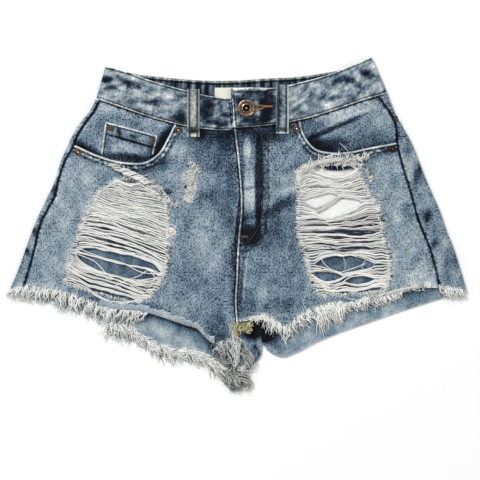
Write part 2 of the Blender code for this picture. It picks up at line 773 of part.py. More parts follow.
def pocket_bag(name, corners):
    """White bag under the front; corners run round from the top at the side seam."""
    top = curve(corners["top"])
    bottom = curve(corners["bottom"])
    start = curve([corners["top"][0]] + list(corners["start"]) + [corners["bottom"][0]])
    end = curve([corners["top"][-1]] + list(corners["end"]) + [corners["bottom"][-1]])
    plan = patch(top, bottom, start, end, np.linspace(0, 1, 7), np.linspace(0, 1, 8))
    layer(f"pocket_bag_{name}", plan, level(BAG_LEVEL), POCKETING, "cotton")


POCKET_BAGS = {
    "left": {"top": [(-158, 138), (-100, 124), (-38, 110)], "start": [(-183, 90), (-184, 30)],
             "bottom": [(-168, -10), (-120, -18), (-70, -8)], "end": [(-44, 50)]},
    "right": {"top": [(38, 112), (100, 128), (160, 145)], "start": [(44, 50)],
              "bottom": [(64, -14), (125, -20), (182, -12)], "end": [(182, 90), (190, 30)]},
}


# -------------------------------------------------------------- small pieces

def fly_underlap():
    left, right, low = -14, 33, -6
    top = seam_stretch("front_left", left, 28)
    plan = patch(top, curve([(left + 8, low), (12, low - 5), (right - 8, low + 4)]),
                 curve([tuple(top(0.0)), (left + 3, 60), (left + 8, low)]),
                 curve([tuple(top(1.0)), (right, 60), (right - 8, low + 4)]),
                 np.linspace(0, 1, 5), np.linspace(0, 1, 8))
    layer("fly_underlap", plan, underlap_under, DENIM, "denim_dark")


def label():
    plan = rectangle(-26, 143, 30, 162, 5, 2)
    layer("label", plan, lambda x, y: back_lift(x, y) + BAND + SEAM, LABEL, "cotton")


def front_loop(name, band_height, panel_height):
    """Strap over the band, stepping down to the front under the waist seam."""
    x, top, bottom = FRONT_LOOPS[name]
    seam = waist_seam(f"front_{name}")
    plan = rectangle(x - LOOP_WIDTH / 2, bottom, x + LOOP_WIDTH / 2, top, 3, 12)

    def height(px, py):
        on_band = band_height(px, py) + BAND + LAYER
        on_panel = np.minimum(panel_height(px, py) + DENIM + LAYER, on_band)
        on_band_share = ramp(seam(px) + 1 - py, LOOP_STEP)
        return on_panel * (1 - on_band_share) + on_band * on_band_share
    layer(f"belt_loop_front_{name}", plan, height, STRAP, "denim")


def hem_roll(plan):
    """Raw edge of the left leg, rolled up on itself."""
    edge = plan[-1, 6:17]
    inner = plan[-2, 6:17]
    into = (inner - edge) / np.linalg.norm(inner - edge, axis=1, keepdims=True)
    shares = np.array([0.06, 0.35, 0.68, 1.0])[:, None, None]
    grid = edge[None] + into[None] * HEM_ROLL_WIDTH * shares
    under = lift(grid, lambda x, y: front_under(x, y) + DENIM + SEAM)
    crown = np.array([0.7, 1.7, 1.6, 0.6])[:, None]
    over = under.copy()
    over[..., 2] += crown
    wall("hem_roll_left", under, over, "denim_inside")


def inseam_fold():
    """Corner of the left leg's inside that turns up beside the crotch."""
    plan = patch(curve([(7, -140), (14, -138), (21, -139)]),
                 curve([(12, -156), (17, -159), (22, -158)]),
                 curve([(7, -140), (7, -148), (12, -156)]),
                 curve([(21, -139), (26, -148), (22, -158)]),
                 np.linspace(0, 1, 5), np.linspace(0, 1, 5))
    layer("inseam_fold", plan, level(DENIM + SEAM), DENIM, "denim_inside")


def button():
    profile = ((0, 0), (BUTTON_RADIUS - 2.5, 0), (BUTTON_RADIUS - 0.4, 0.9), (BUTTON_RADIUS, 1.6),
               (BUTTON_RADIUS - 0.6, 2.5), (BUTTON_RADIUS - 2.6, 3.0), (4.6, 2.3), (3.2, 1.6),
               (1.6, 1.6), (1.0, 2.3), (0, 2.4))
    base = BAND_LEVEL + BAND_LAP_RISE + BAND + SEAM
    turned("button", BUTTON_AT, base, profile, 20, "copper")


def rivet(name):
    x, y = RIVETS[name]
    profile = ((0, 0), (RIVET_RADIUS - 0.5, 0), (RIVET_RADIUS, 0.4), (RIVET_RADIUS - 0.8, 1.1),
               (2.2, 1.2), (1.6, 0.9), (1.0, 1.5), (0, 1.7))
    on = [(x + dx, y + dy) for dx in (-RIVET_RADIUS, 0, RIVET_RADIUS)
          for dy in (-RIVET_RADIUS, 0, RIVET_RADIUS)]
    base = max(float(front_under(np.array(px, float), np.array(py, float))) for px, py in on)
    turned(f"rivet_{name}", (x, y), base + DENIM + SEAM, profile, 12, "copper")


# -------------------------------------------------------------------- fringe

def sway(i, phase):
    """Repeatable unevenness between -1 and 1."""
    return math.sin(i * 2.399 + phase) * 0.6 + math.sin(i * 5.13 + 2 * phase) * 0.4


def fringe(spec, edge, tips, root_height):
    """Strands of a raw edge, their roots fused into a narrow strip beside the cloth."""
    stations = 2 * spec.strands + 1
    ts = np.linspace(0, 1, stations)
    roots = polyline(edge)(ts)
    ends = curve(tips)(ts)
    reach = ends - roots
    away = reach / np.linalg.norm(reach, axis=1, keepdims=True)
    inner = roots + away * STRIP_NEAR
    outer = roots + away * STRIP_FAR
    low = root_height(roots[:, 0], roots[:, 1])
    points = []
    for k in range(stations):
        points += [(*inner[k], low[k]), (*outer[k], low[k]),
                   (*outer[k], low[k] + spec.thickness), (*inner[k], low[k] + spec.thickness)]
    faces = [[0, 1, 2, 3], [4 * (stations - 1) + c for c in range(4)]]
    for k in range(stations - 1):
        a, b = 4 * k, 4 * (k + 1)
        faces += [[a, b, b + 1, a + 1], [a + 2, b + 2, b + 3, a + 3], [a + 3, b + 3, b, a]]
        if k % 2 == 0 or k == stations - 2:
            faces.append([a + 1, b + 1, b + 2, a + 2])
            continue
        ring = [a + 1, b + 1, b + 2, a + 2]
        i = k // 2
        base = np.mean([points[c] for c in ring], axis=0)
        length = 1 + 0.12 * sway(i, 0.4)
        tip = np.array([*(roots[k] + (ends[k] - roots[k]) * length), spec.tip_z])
        tip[0] += 0.5 * sway(i, 1.7)
        bend = np.array([0.45 * sway(i, 2.9), 0, 0.35 * (-1) ** i])
        middle = base + (tip - base) * 0.5 + bend
        middle_ring = []
        for c in ring:
            middle_ring.append(len(points))
            points.append(tuple(middle + (np.array(points[c]) - base) * 0.75))
        points.append(tuple(tip))
        top = len(points) - 1
        for c in range(4):
            d = (c + 1) % 4
            faces.append([ring[c], ring[d], middle_ring[d], middle_ring[c]])
            faces.append([middle_ring[c], middle_ring[d], top])
    add_piece(spec.name, points, faces, "threads")


def stretch(points, start, end):
    """The corners of a row of points between two shares of its length."""
    knots = chord_knots(points)
    line = polyline(points)
    inside = [t for t in knots if start < t < end]
    return [tuple(line(t)) for t in [start] + inside + [end]]


FRONT_LEFT_TIPS = ((-271, -86), (-254, -89), (-242, -91), (-230, -94), (-219, -97), (-205, -101),
                   (-188, -104), (-172, -110), (-154, -118), (-139, -121.5), (-125, -119),
                   (-114, -112))
FRONT_RIGHT_TIPS = ((29, -117), (38, -127), (56, -138), (66, -137), (75, -133), (86, -126),
                    (106, -126), (117, -120), (130, -113), (139, -106.5), (148, -102),
                    (161, -99.5), (173, -97.5), (181, -92.5), (188, -87), (196, -83))
RIGHT_CORNER_TIPS = ((239, -86), (249, -87), (262, -87), (271.5, -86))
BACK_LEFT_TIPS = ((21, -173), (14, -185), (9, -193), (1, -197.5), (-9, -196.5), (-18, -189),
                  (-27, -175.5), (-35, -168.5), (-44, -161), (-58, -162.5), (-73, -162.5),
                  (-88, -154), (-101, -149), (-111, -140), (-122, -134.5), (-137, -128.5),
                  (-153, -130))
INSEAM_TIPS = ((-20, -171), (-12, -175), (0, -173), (12, -172), (20, -165))


def fringes(front_left, front_right, back_left, left_flap, right_flap):
    left_edge = [tuple(p) for p in left_flap] + [tuple(p) for p in front_left[-1][1:12]]
    fringe(Fringe("fringe_front_left", 34, 1.0, 1.7), left_edge, FRONT_LEFT_TIPS, beside_front)
    fringe(Fringe("fringe_front_right", 40, 1.0, 2.6),
           stretch(front_right[-1], 0.12, 0.84), FRONT_RIGHT_TIPS, beside_front)
    fringe(Fringe("fringe_corner_right", 8, 1.0, 1.7), [tuple(p) for p in right_flap],
           RIGHT_CORNER_TIPS, beside_front)
    fringe(Fringe("fringe_back_left", 46, 0.9, 0.7), stretch(back_left, 0.07, 0.63),
           BACK_LEFT_TIPS, level(SEAM))
    fringe(Fringe("fringe_inseam", 12, 1.0, 3.3), stretch(front_left[-1], 0.86, 0.955),
           INSEAM_TIPS, beside_front)


# --------------------------------------------------------------------- build

def centre_plan():
    """Moves the whole part so that its box is centred over the origin."""
    corners = [piece.matrix_basis @ v.co for piece in shorts.children
               if not piece.hide_render for v in piece.data.vertices]
    lows = [min(c[k] for c in corners) for k in (0, 1)]
    highs = [max(c[k] for c in corners) for k in (0, 1)]
    shorts.location = [-(a + b) / 2 for a, b in zip(lows, highs)] + [0]
    print("plan moved by", tuple(round(c / MM, 3) for c in shorts.location))


def build():
    global shorts
    for thing in list(bpy.data.objects):
        bpy.data.objects.remove(thing, do_unlink=True)
    shorts = bpy.data.objects.new("shorts", None)
    bpy.context.collection.objects.link(shorts)

    left_seam, right_seam = curve(LEFT_SEAM), curve(RIGHT_SEAM)
    waistband()
    back_left = yoke_and_back("left", -1, curve(LEFT_FOLD), left_seam, LEFT_BACK_HEM)
    back_right = yoke_and_back("right", 1, curve(RIGHT_FOLD), right_seam, RIGHT_BACK_HEM)
    for name in BACK_POCKET_ZONES:
        back_pocket(name)
    for name in BACK_LOOPS:
        back_loop(name)

    left_plan, right_plan = front_left_plan(left_seam), front_right_plan(right_seam)
    front_left = layer("front_left", left_plan, front_under, DENIM, "denim")
    front_right = layer("front_right", right_plan, lapped_front_under, DENIM, "denim")
    rip_cutter("left", LEFT_RIP, front_left)
    rip_cutter("right", RIGHT_RIP, front_right)
    rip_threads("left", LEFT_RIP, LEFT_GAPS)
    rip_threads("right", RIGHT_RIP, RIGHT_GAPS)

    pocket_facing_left(left_seam)
    pocket_facing_right(right_seam)
    coin_pocket()
    for name, corners in POCKET_BAGS.items():
        pocket_bag(name, corners)
    fly_underlap()
    label()
    front_loop("left", band_front_left, front_under)
    front_loop("right", band_front_right, lapped_front_under)
    hem_roll(left_plan)
    inseam_fold()
    button()
    for name in RIVETS:
        rivet(name)

    fringes(left_plan, right_plan, back_left[-1, :13, :2], back_left[-1, -3:, :2],
            back_right[-1, -3:, :2][::-1])
    centre_plan()


build()
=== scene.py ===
# Ripped, cut-off denim shorts lying flat on their back: cloth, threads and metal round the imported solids.
# Plan sizes are in millimetres: x across the shorts, y up to the waist, z up from the surface.
import math

import bpy
import numpy as np
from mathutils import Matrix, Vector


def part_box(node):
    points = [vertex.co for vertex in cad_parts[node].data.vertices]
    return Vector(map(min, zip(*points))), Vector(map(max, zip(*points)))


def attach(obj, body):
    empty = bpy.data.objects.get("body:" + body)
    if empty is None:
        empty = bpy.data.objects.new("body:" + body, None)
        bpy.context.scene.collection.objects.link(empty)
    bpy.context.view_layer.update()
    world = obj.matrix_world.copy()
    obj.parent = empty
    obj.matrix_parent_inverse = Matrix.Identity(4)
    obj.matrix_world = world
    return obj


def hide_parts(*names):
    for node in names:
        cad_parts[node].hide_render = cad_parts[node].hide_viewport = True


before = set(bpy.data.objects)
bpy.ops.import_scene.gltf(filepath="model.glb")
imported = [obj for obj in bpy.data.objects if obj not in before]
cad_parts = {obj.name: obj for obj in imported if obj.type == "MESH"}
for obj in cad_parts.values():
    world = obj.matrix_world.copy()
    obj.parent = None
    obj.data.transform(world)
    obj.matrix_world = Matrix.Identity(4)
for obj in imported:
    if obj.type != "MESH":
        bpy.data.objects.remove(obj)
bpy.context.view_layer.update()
bpy.ops.object.select_all(action="DESELECT")

mm = 0.001
far = 30.0            # distances to seams and edges are kept up to here
chance = np.random.default_rng(11)

# thicknesses of the cloth, then the gaps at seams and between layers
cloth = {"denim": 1.2, "pocketing": 1.0, "band": 2.4, "strap": 1.2, "label": 1.0, "under": 1.0,
         "seam": 0.3, "layer": 0.4}
levels = {"front": 4.9, "mouthRise": 1.4, "flyRise": 1.4, "lapRise": 0.7, "band": 5.4, "bag": 2.8,
          "bandLap": (32, 45), "backLift": 1.4, "liftMargin": 3}

button = {"at": (11, 137.5), "dots": 26, "dotRing": 6.5}
buttonLow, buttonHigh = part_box("button")
planMove = np.array([(buttonLow.x + buttonHigh.x) / 2 / mm - button["at"][0],
                     (buttonLow.y + buttonHigh.y) / 2 / mm - button["at"][1], 0.0])


# lines, as functions of 0 to 1
def even(count):
    return np.linspace(0, 1, count)


def spline(knots, points):
    knots, points = np.asarray(knots, float), np.asarray(points, float)
    steps = np.diff(knots)
    slopes = np.diff(points, axis=0) / steps[:, None]
    share = (steps[:-1] / (steps[:-1] + steps[1:]))[:, None]
    tangents = np.vstack([slopes[:1], slopes[:-1] * (1 - share) + slopes[1:] * share, slopes[-1:]])

    def at(t):
        t = np.asarray(t, float)
        i = np.clip(np.searchsorted(knots, t, side="right") - 1, 0, len(steps) - 1)
        step = steps[i][..., None]
        s = (t - knots[i])[..., None] / step
        return ((1 + 2 * s) * (1 - s) ** 2 * points[i] + s * (1 - s) ** 2 * step * tangents[i]
                + s * s * (3 - 2 * s) * points[i + 1] - s * s * (1 - s) * step * tangents[i + 1])
    return at


def travelled(points):
    # how far along a row of points each one lies
    return np.concatenate([[0], np.cumsum(np.linalg.norm(np.diff(points, axis=0), axis=1))])


def chordKnots(points):
    lengths = np.linalg.norm(np.diff(np.asarray(points, float), axis=0), axis=1)
    return np.concatenate([[0], np.cumsum(lengths)]) / lengths.sum()


def curve(points):
    return spline(chordKnots(points), points)


def polyline(points):
    points = np.asarray(points, float)
    knots = chordKnots(points)
    return lambda t: np.stack([np.interp(t, knots, points[:, k]) for k in (0, 1)], axis=-1)


def joined(first, second, split):
    def at(t):
        t = np.asarray(t, float)
        before = first(np.clip(t / split, 0, 1))
        after = second(np.clip((t - split) / (1 - split), 0, 1))
        return np.where((t < split)[..., None], before, after)
    return at


def partOf(line, start, end):
    return lambda t: line(start + (end - start) * np.asarray(t, float))


def moved(line, dx):
    return lambda t: line(t) + np.array([dx, 0.0])


def yOverX(points):
    samples = polyline(points)(even(300))
    samples = samples[np.argsort(samples[:, 0])]
    return lambda x: np.interp(x, samples[:, 0], samples[:, 1])


def unit(rows):
    return rows / np.linalg.norm(rows, axis=-1, keepdims=True)


def leftOf(run):
    # directions turned a quarter to the left, one unit long
    run = unit(run)
    return np.stack([-run[:, 1], run[:, 0]], axis=1)


def beside(line, distance):
    points = line(even(120))
    return points + leftOf(np.gradient(points, axis=0)) * distance


def turnOf(degrees):
    return math.cos(math.radians(degrees)), math.sin(math.radians(degrees))


def patch(top, bottom, start, end, us, vs):
    # a grid of points between four lines
    u = np.asarray(us, float)[None, :, None]
    v = np.asarray(vs, float)[:, None, None]
    corners = ((1 - v) * ((1 - u) * top(0.0) + u * top(1.0))
               + v * ((1 - u) * bottom(0.0) + u * bottom(1.0)))
    return ((1 - v) * top(us)[None] + v * bottom(us)[None]
            + (1 - u) * start(vs)[:, None] + u * end(vs)[:, None] - corners)


def edgeSteps(count):
    # even steps with two more close to each end, where a cloth edge rounds off
    close = 0.012
    inner = np.linspace(close * 3, 1 - close * 3, max(count - 4, 2))
    return np.concatenate([[0, close], inner, [1 - close, 1]])


def rectangle(x0, y0, x1, y1, columns, rows):
    x, y = np.meshgrid(edgeSteps(columns) * (x1 - x0) + x0, y1 - edgeSteps(rows) * (y1 - y0))
    return np.stack([x, y], axis=-1)


def splitSteps(split, first, second):
    return np.concatenate([np.linspace(0, split, first + 1), np.linspace(split, 1, second + 1)[1:]])


# plan of the shorts
band = {                     # across the band: x and y of its top edge, x and y of its lower edge
    "frontLeft": (
        (-154, 187, -165, 149), (-125, 179, -134, 138.5), (-102, 170.5, -108, 129.5),
        (-80, 164, -86, 123), (-58.5, 158, -64, 117.5), (-27, 151, -31, 113), (-14, 149.5, -14, 112),
        (-8, 149.5, -8, 113), (-2, 150, -2, 117), (29, 151, 29, 118.5)),
    "frontRight": (
        (157.5, 198, 175.5, 156), (129, 185.5, 144, 146), (102, 175.5, 113.5, 135.5),
        (74, 168, 80.5, 125.5), (45, 161.5, 46, 119), (15, 162, 15, 116), (-7.5, 160.5, -3.5, 115)),
    "back": (
        (-154, 187, -165, 149), (-125, 179.5, -132, 139.5), (-98, 175.5, -103, 135.5),
        (-67, 172.5, -69, 133), (-36, 170.5, -36.5, 131), (2, 170.5, 2, 130.5), (34, 173, 36, 133),
        (67, 174.5, 71, 134.5), (95, 178, 103, 139), (126, 184.5, 140, 147), (157.5, 198, 175.5, 156)),
    "rows": 24, "hiddenEnd": -14, "seamGap": 0.4,
}
body = {
    "leftFold": ((-165.5, 148), (-171, 137), (-187, 116), (-198, 95), (-207, 74), (-216, 46),
                 (-223, 32), (-236, 4), (-247, -25), (-257, -53), (-267, -76)),
    "leftSeam": ((-161, 146.5), (-167, 134.5), (-177, 121), (-188, 103), (-190.5, 95.5),
                 (-201, 76), (-209, 53), (-212.5, 36), (-222, 19), (-230, 2), (-236.5, -25),
                 (-250, -72.5)),
    "rightFold": ((176, 155), (180, 144), (186, 130), (194, 116), (202, 102), (211, 81),
                  (219, 60), (228, 39), (237.5, 17.5), (244.5, -3.5), (253, -24.5), (260, -46),
                  (268.5, -75)),
    "rightSeam": ((165.5, 151), (179.5, 131), (186, 117), (187, 100.5), (194, 69), (202.5, 42),
                  (212, 8), (223.5, -21), (234, -56), (237, -72.5)),
    "backSeam": ((2, 130), (3, 60), (6, 0), (14, -70), (30, -138.5)),
    "flyX": -3.5,
    "flyEdge": ((1, 76), (4.5, 26), (4.5, 16), (2, -9), (0, -35), (-1, -63), (-2.5, -87),
                (-1, -112)),
    "leftMouth": ((-161, 82), (-143, 76.5), (-125, 74), (-107, 75), (-91, 86), (-82, 101),
                  (-75, 115)),
    "rightMouth": ((75.5, 114), (80.5, 103), (91, 91), (111, 86), (129, 86.5), (147, 90),
                   (167, 94)),
    "leftMouthTop": -73, "rightMouthTop": 74, "yokeEnd": 0.22, "mouthAt": 0.25,
}
hems = {
    "leftFront": ((-230, -75), (-209, -78), (-184, -86.5), (-161.5, -93.5), (-137, -98),
                  (-112, -100), (-90, -106), (-61, -116), (-46, -121), (-38.5, -129),
                  (-29, -137), (-17.5, -138.5), (-7, -131)),
    "rightFront": ((10.5, -111), (22, -107.5), (33, -105), (42, -111), (54, -119), (62, -118),
                   (70, -109), (81, -102), (97, -97), (118, -91.5), (132, -92), (148.5, -86.5),
                   (167, -83), (195, -76), (219, -72)),
    "leftBack": ((28, -152), (18, -163), (5, -168), (-10, -168), (-27, -160), (-44.5, -149),
                 (-74, -146), (-101, -137), (-125, -119), (-152, -112), (-190, -99), (-230, -88)),
    "rightBack": ((36, -146), (44.5, -151.5), (54, -154), (66.5, -149.5), (90, -137),
                  (132, -121), (179.5, -104), (214, -93), (233, -87), (251, -81.5)),
}
zones = {                    # x0, y0, x1, y1, fade
    "mouths": ((-190, 52, -60, 125, 35), (60, 62, 190, 130, 35)),
    "fly": (-15, -5, 34, 125, 30),
    "backPockets": {"left": (-160, -72, -42, 64, 28), "right": (48, -72, 166, 64, 28)},
    "backLoops": {"left": (-92.25, 121, -77.75, 171, 25), "middle": (-5.25, 118, 9.25, 168, 25),
                  "right": (80.75, 123, 95.25, 173, 25)},
}
creases = (                  # x1, y1, x2, y2, width, depth
    (26, 104, 29, -12, 7, 0.8), (29, 8, 78, 38, 8, 0.7), (82, 100, 150, 133, 9, 0.6),
    (-30, -78, -10, -132, 11, 0.8), (14, -108, 74, -64, 8, 0.7), (-12, -30, -60, -66, 12, 0.5),
    (196, 40, 214, -30, 10, 0.5), (-214, 10, -222, -50, 9, 0.5),
)


# heights of the layers, as functions of x and y
def ramp(distance, width):
    t = np.clip(1 - distance / width, 0, 1)
    return t * t * (3 - 2 * t)


def inZone(x, y, zone, margin=0.0):
    x0, y0, x1, y1, fade = zone
    dx = np.maximum(np.maximum(x0 - margin - x, x - x1 - margin), 0)
    dy = np.maximum(np.maximum(y0 - margin - y, y - y1 - margin), 0)
    return ramp(np.hypot(dx, dy), fade)


def creaseDepth(x, y):
    depth = np.zeros_like(x, dtype=float)
    for x1, y1, x2, y2, width, deep in creases:
        run = np.array([x2 - x1, y2 - y1])
        length = np.hypot(*run)
        along = ((x - x1) * run[0] + (y - y1) * run[1]) / length ** 2
        across = ((x - x1) * run[1] - (y - y1) * run[0]) / length
        depth += deep * np.exp(-(across / width) ** 2) * np.sin(np.pi * np.clip(along, 0, 1))
    return depth


def unevenness(x, y):
    return (0.22 * np.sin(x / 17 + 1.3 * np.sin(y / 29)) * np.sin(y / 23 + 0.7)
            + 0.12 * np.sin(x / 7.3 + y / 11 + 2 * np.sin(y / 41)))


def hump(distance, width, power=2):
    # 1 at no distance, falling softly to 0
    return np.exp(-(distance / width) ** power)


def above(under, rise):
    return lambda x, y: under(x, y) + rise


def level(z):
    return lambda x, y: np.full_like(x, z, dtype=float)


def frontUnder(x, y):
    mouths = np.maximum(*[inZone(x, y, zone) for zone in zones["mouths"]])
    rise = np.maximum(levels["mouthRise"] * mouths, levels["flyRise"] * inZone(x, y, zones["fly"]))
    return levels["front"] + rise - creaseDepth(x, y) + unevenness(x, y)


def lappedUnder(x, y):
    return frontUnder(x, y) + levels["lapRise"] * inZone(x, y, zones["fly"])


def backLift(x, y):
    covered = [*zones["backPockets"].values(), *zones["backLoops"].values()]
    return levels["backLift"] * np.max([inZone(x, y, z, levels["liftMargin"]) for z in covered], axis=0)


def bandRightUnder(x, y):
    lapX, fade = levels["bandLap"]
    return levels["band"] + (cloth["band"] + cloth["layer"]) * ramp(x - lapX, fade)


bandUnders = {"left": level(levels["band"]), "right": bandRightUnder}
frontUnders = {"left": frontUnder, "right": lappedUnder}
leftTop, rightTop = above(frontUnder, cloth["denim"]), above(lappedUnder, cloth["denim"])
backBandTop = above(backLift, cloth["band"])
behindFront = above(frontUnder, -cloth["layer"])
facingUnder = above(behindFront, -cloth["pocketing"])
facingTop = above(facingUnder, cloth["pocketing"])
coinUnder = above(facingTop, cloth["seam"])
coinTop = above(coinUnder, cloth["pocketing"])


def near(x, y, *lines):
    # distance in the plan to the nearest of several rows of points
    best = np.full(np.shape(x), far)
    for line in lines:
        for (ax, ay), (bx, by) in zip(line[:-1], line[1:]):
            length = max((bx - ax) ** 2 + (by - ay) ** 2, 1e-9)
            t = np.clip(((x - ax) * (bx - ax) + (y - ay) * (by - ay)) / length, 0, 1)
            best = np.minimum(best, np.hypot(x - ax - t * (bx - ax), y - ay - t * (by - ay)))
    return best


def inside(x, y, ring):
    # True where a point lies in a closed ring
    crossings = np.zeros(np.shape(x), int)
    for (ax, ay), (bx, by) in zip(ring, np.roll(ring, -1, axis=0)):
        if ay != by:
            crossings += ((ay > y) != (by > y)) & (x < ax + (bx - ax) * (y - ay) / (by - ay))
    return crossings % 2 == 1


# spots of lighter and darker tone: some are wash and wear, others painted shade and highlights at creases,
# folds, holes and under loose layers
def tone(x, y, spots):
    # each spot: x, y, half width, half height, turn in degrees, how much lighter, how sharp
    total = np.zeros_like(x, dtype=float)
    for sx, sy, wide, high, turn, lighter, *sharp in spots:
        c, s = turnOf(turn)
        u, v = ((x - sx) * c + (y - sy) * s) / wide, ((y - sy) * c - (x - sx) * s) / high
        total += lighter * np.exp(-np.minimum(u * u + v * v, 9) ** (sharp[0] if sharp else 1.5))
    return total


# finishes
def hue(r, g, b):
    # a colour as seen, 0 to 255, in the renderer's linear values
    return tuple(c / 12.92 if c <= 0.04045 else ((c + 0.055) / 1.055) ** 2.4
                 for c in (r / 255, g / 255, b / 255)) + (1.0,)


class Value:  # a shader socket that takes part in sums
    def __init__(self, maker, socket):
        self.maker, self.socket = maker, socket

    def sum(self, operation, first, second):
        return self.maker.node("ShaderNodeMath", {"operation": operation}, {0: first, 1: second})

    def __add__(self, other):
        return self.sum("ADD", self, other)

    def __sub__(self, other):
        return self.sum("SUBTRACT", self, other)

    def __rsub__(self, other):
        return self.sum("SUBTRACT", other, self)

    def __mul__(self, other):
        return self.sum("MULTIPLY", self, other)

    def __truediv__(self, other):
        return self.sum("DIVIDE", self, other)

    __radd__ = __add__
    __rmul__ = __mul__

    def least(self, other):
        return self.sum("MINIMUM", self, other)

    def sine(self):
        return self.sum("SINE", self, 0)

    def fade(self, start, end, low=0.0, high=1.0):
        return self.maker.node("ShaderNodeMapRange", {"interpolation_type": "SMOOTHSTEP"},
                               {"Value": self, "From Min": start, "From Max": end, "To Min": low,
                                "To Max": high})


class Finish:
    def __init__(self, name, **fixed):
        self.data = bpy.data.materials.new(name)
        self.data.use_nodes = True
        self.tree = self.data.node_tree
        self.shader = self.tree.nodes["Principled BSDF"]
        for socket, value in fixed.items():
            self.shader.inputs[socket.replace("_", " ")].default_value = value

    def node(self, kind, settings=None, sockets=None, output=0):
        made = self.tree.nodes.new(kind)
        for key, value in (settings or {}).items():
            if key == "stops":
                while len(made.color_ramp.elements) < len(value):
                    made.color_ramp.elements.new(1.0)
                for element, (place, colour) in zip(made.color_ramp.elements, value):
                    element.position, element.color = place, colour
            else:
                setattr(made, key, value)
        for key, value in (sockets or {}).items():
            if isinstance(value, Value):
                self.tree.links.new(value.socket, made.inputs[key])
            else:
                made.inputs[key].default_value = value
        return Value(self, made.outputs[output])

    def feed(self, socket, value):
        self.tree.links.new(value.socket, self.shader.inputs[socket])

    def place(self):
        return self.node("ShaderNodeTexCoord", output="Object")

    def fabric(self):
        return self.node("ShaderNodeUVMap", {"uv_map": "fabric"})

    def part(self, vector, axis):
        return self.node("ShaderNodeSeparateXYZ", None, {"Vector": vector}, axis)

    def ramp(self, stops, factor):
        return self.node("ShaderNodeValToRGB", {"stops": stops}, {"Fac": factor})

    def mark(self, name):
        return self.node("ShaderNodeAttribute", {"attribute_name": name}, output="Fac")

    def stretched(self, vector, scale):
        return self.node("ShaderNodeVectorMath", {"operation": "MULTIPLY"}, {0: vector, 1: scale})

    def noise(self, vector, size, detail=2.0, rough=0.5):
        # size is the width of one patch in millimetres, or its width along u, v and z
        each = size if isinstance(size, tuple) else (size,) * 3
        vector = self.stretched(vector, tuple(1000 / s for s in each))
        return self.node("ShaderNodeTexNoise", None,
                         {"Vector": vector, "Scale": 1.0, "Detail": detail, "Roughness": rough}) - 0.5

    def profile(self, distance, stops):
        # a table of distance in millimetres and change of tone, read as a curve
        listed = [(d / edgeReach, (0.5 + change,) * 3 + (1.0,)) for d, change in stops]
        return self.ramp(listed, distance / edgeReach) - 0.5

    def bump(self, height, depth):
        self.feed("Normal", self.node("ShaderNodeBump", None, {"Height": height, "Distance": depth * mm}))


def wavesOf(pitch):
    # turns the object's metres into the angle of a wave, its pitch in millimetres
    return 2 * math.pi * 1000 / pitch


def tonesOf(stops, colours):
    return tuple((stop, hue(*colour)) for stop, colour in zip(stops, colours))


toneStops = (0, 0.12, 0.22, 0.34, 0.46, 0.58, 0.7, 0.82, 1)
denimTones = tonesOf(toneStops, (
    (7, 10, 18), (20, 28, 43), (40, 54, 71), (67, 85, 103), (97, 118, 136), (130, 148, 160),
    (165, 176, 182), (202, 207, 208), (245, 245, 242)))
bandTones = tonesOf(toneStops, (
    (8, 11, 22), (20, 28, 46), (40, 52, 70), (70, 85, 98), (103, 120, 133), (137, 151, 159),
    (169, 178, 181), (203, 206, 202), (245, 245, 240)))
strapTones = tonesOf(toneStops, (
    (12, 14, 22), (26, 31, 42), (48, 55, 66), (78, 88, 96), (112, 121, 124), (146, 151, 146),
    (180, 182, 172), (208, 209, 198), (240, 240, 230)))

# tone along an edge: distance in millimetres and change of tone. The pale rims are wear; the dark bands
# beside stitch rows and the dark line of a plain seam are painted shade
edgeReach = 14
turnedEdge = (
    (0, 0.22), (1.2, 0.3), (1.9, 0.22), (2.4, -0.2), (3.4, -0.38), (4.4, -0.08), (5.6, 0.06),
    (6.7, -0.1), (7.6, -0.38), (8.8, -0.2), (11, -0.04), (14, 0))
strapEdge = (
    (0, 0.12), (1.2, 0.16), (2.0, -0.1), (3.0, -0.34), (4.2, -0.06), (5.4, 0.08), (9, 0.1), (14, 0))
plainSeam = ((0, -0.8), (0.7, -0.62), (1.4, -0.12), (2.1, 0.02), (3.3, 0.04), (5.4, 0.04), (14, 0))
paleRim = ((0, 0.26), (1.4, 0.26), (2.0, -0.16), (3.0, -0.38), (3.9, -0.05), (14, 0))
rawEdge = ((0, 0.36), (2, 0.28), (4, 0.14), (7, 0.05), (11, 0.01), (14, 0))

weave = {"cloud": 34, "patch": (9, 12, 9), "grain": (2.3, 3.8, 1), "fleck": (1.4, 1.9, 1),
         "streak": (5.5, 80, 1), "vein": (13, 6.5, 1), "veinTurn": 0.3, "pucker": 3.4, "ribPitch": 1.3,
         "depth": 0.35, "cottonPitch": 0.7, "cottonDepth": 0.12, "threadDepth": 0.12}


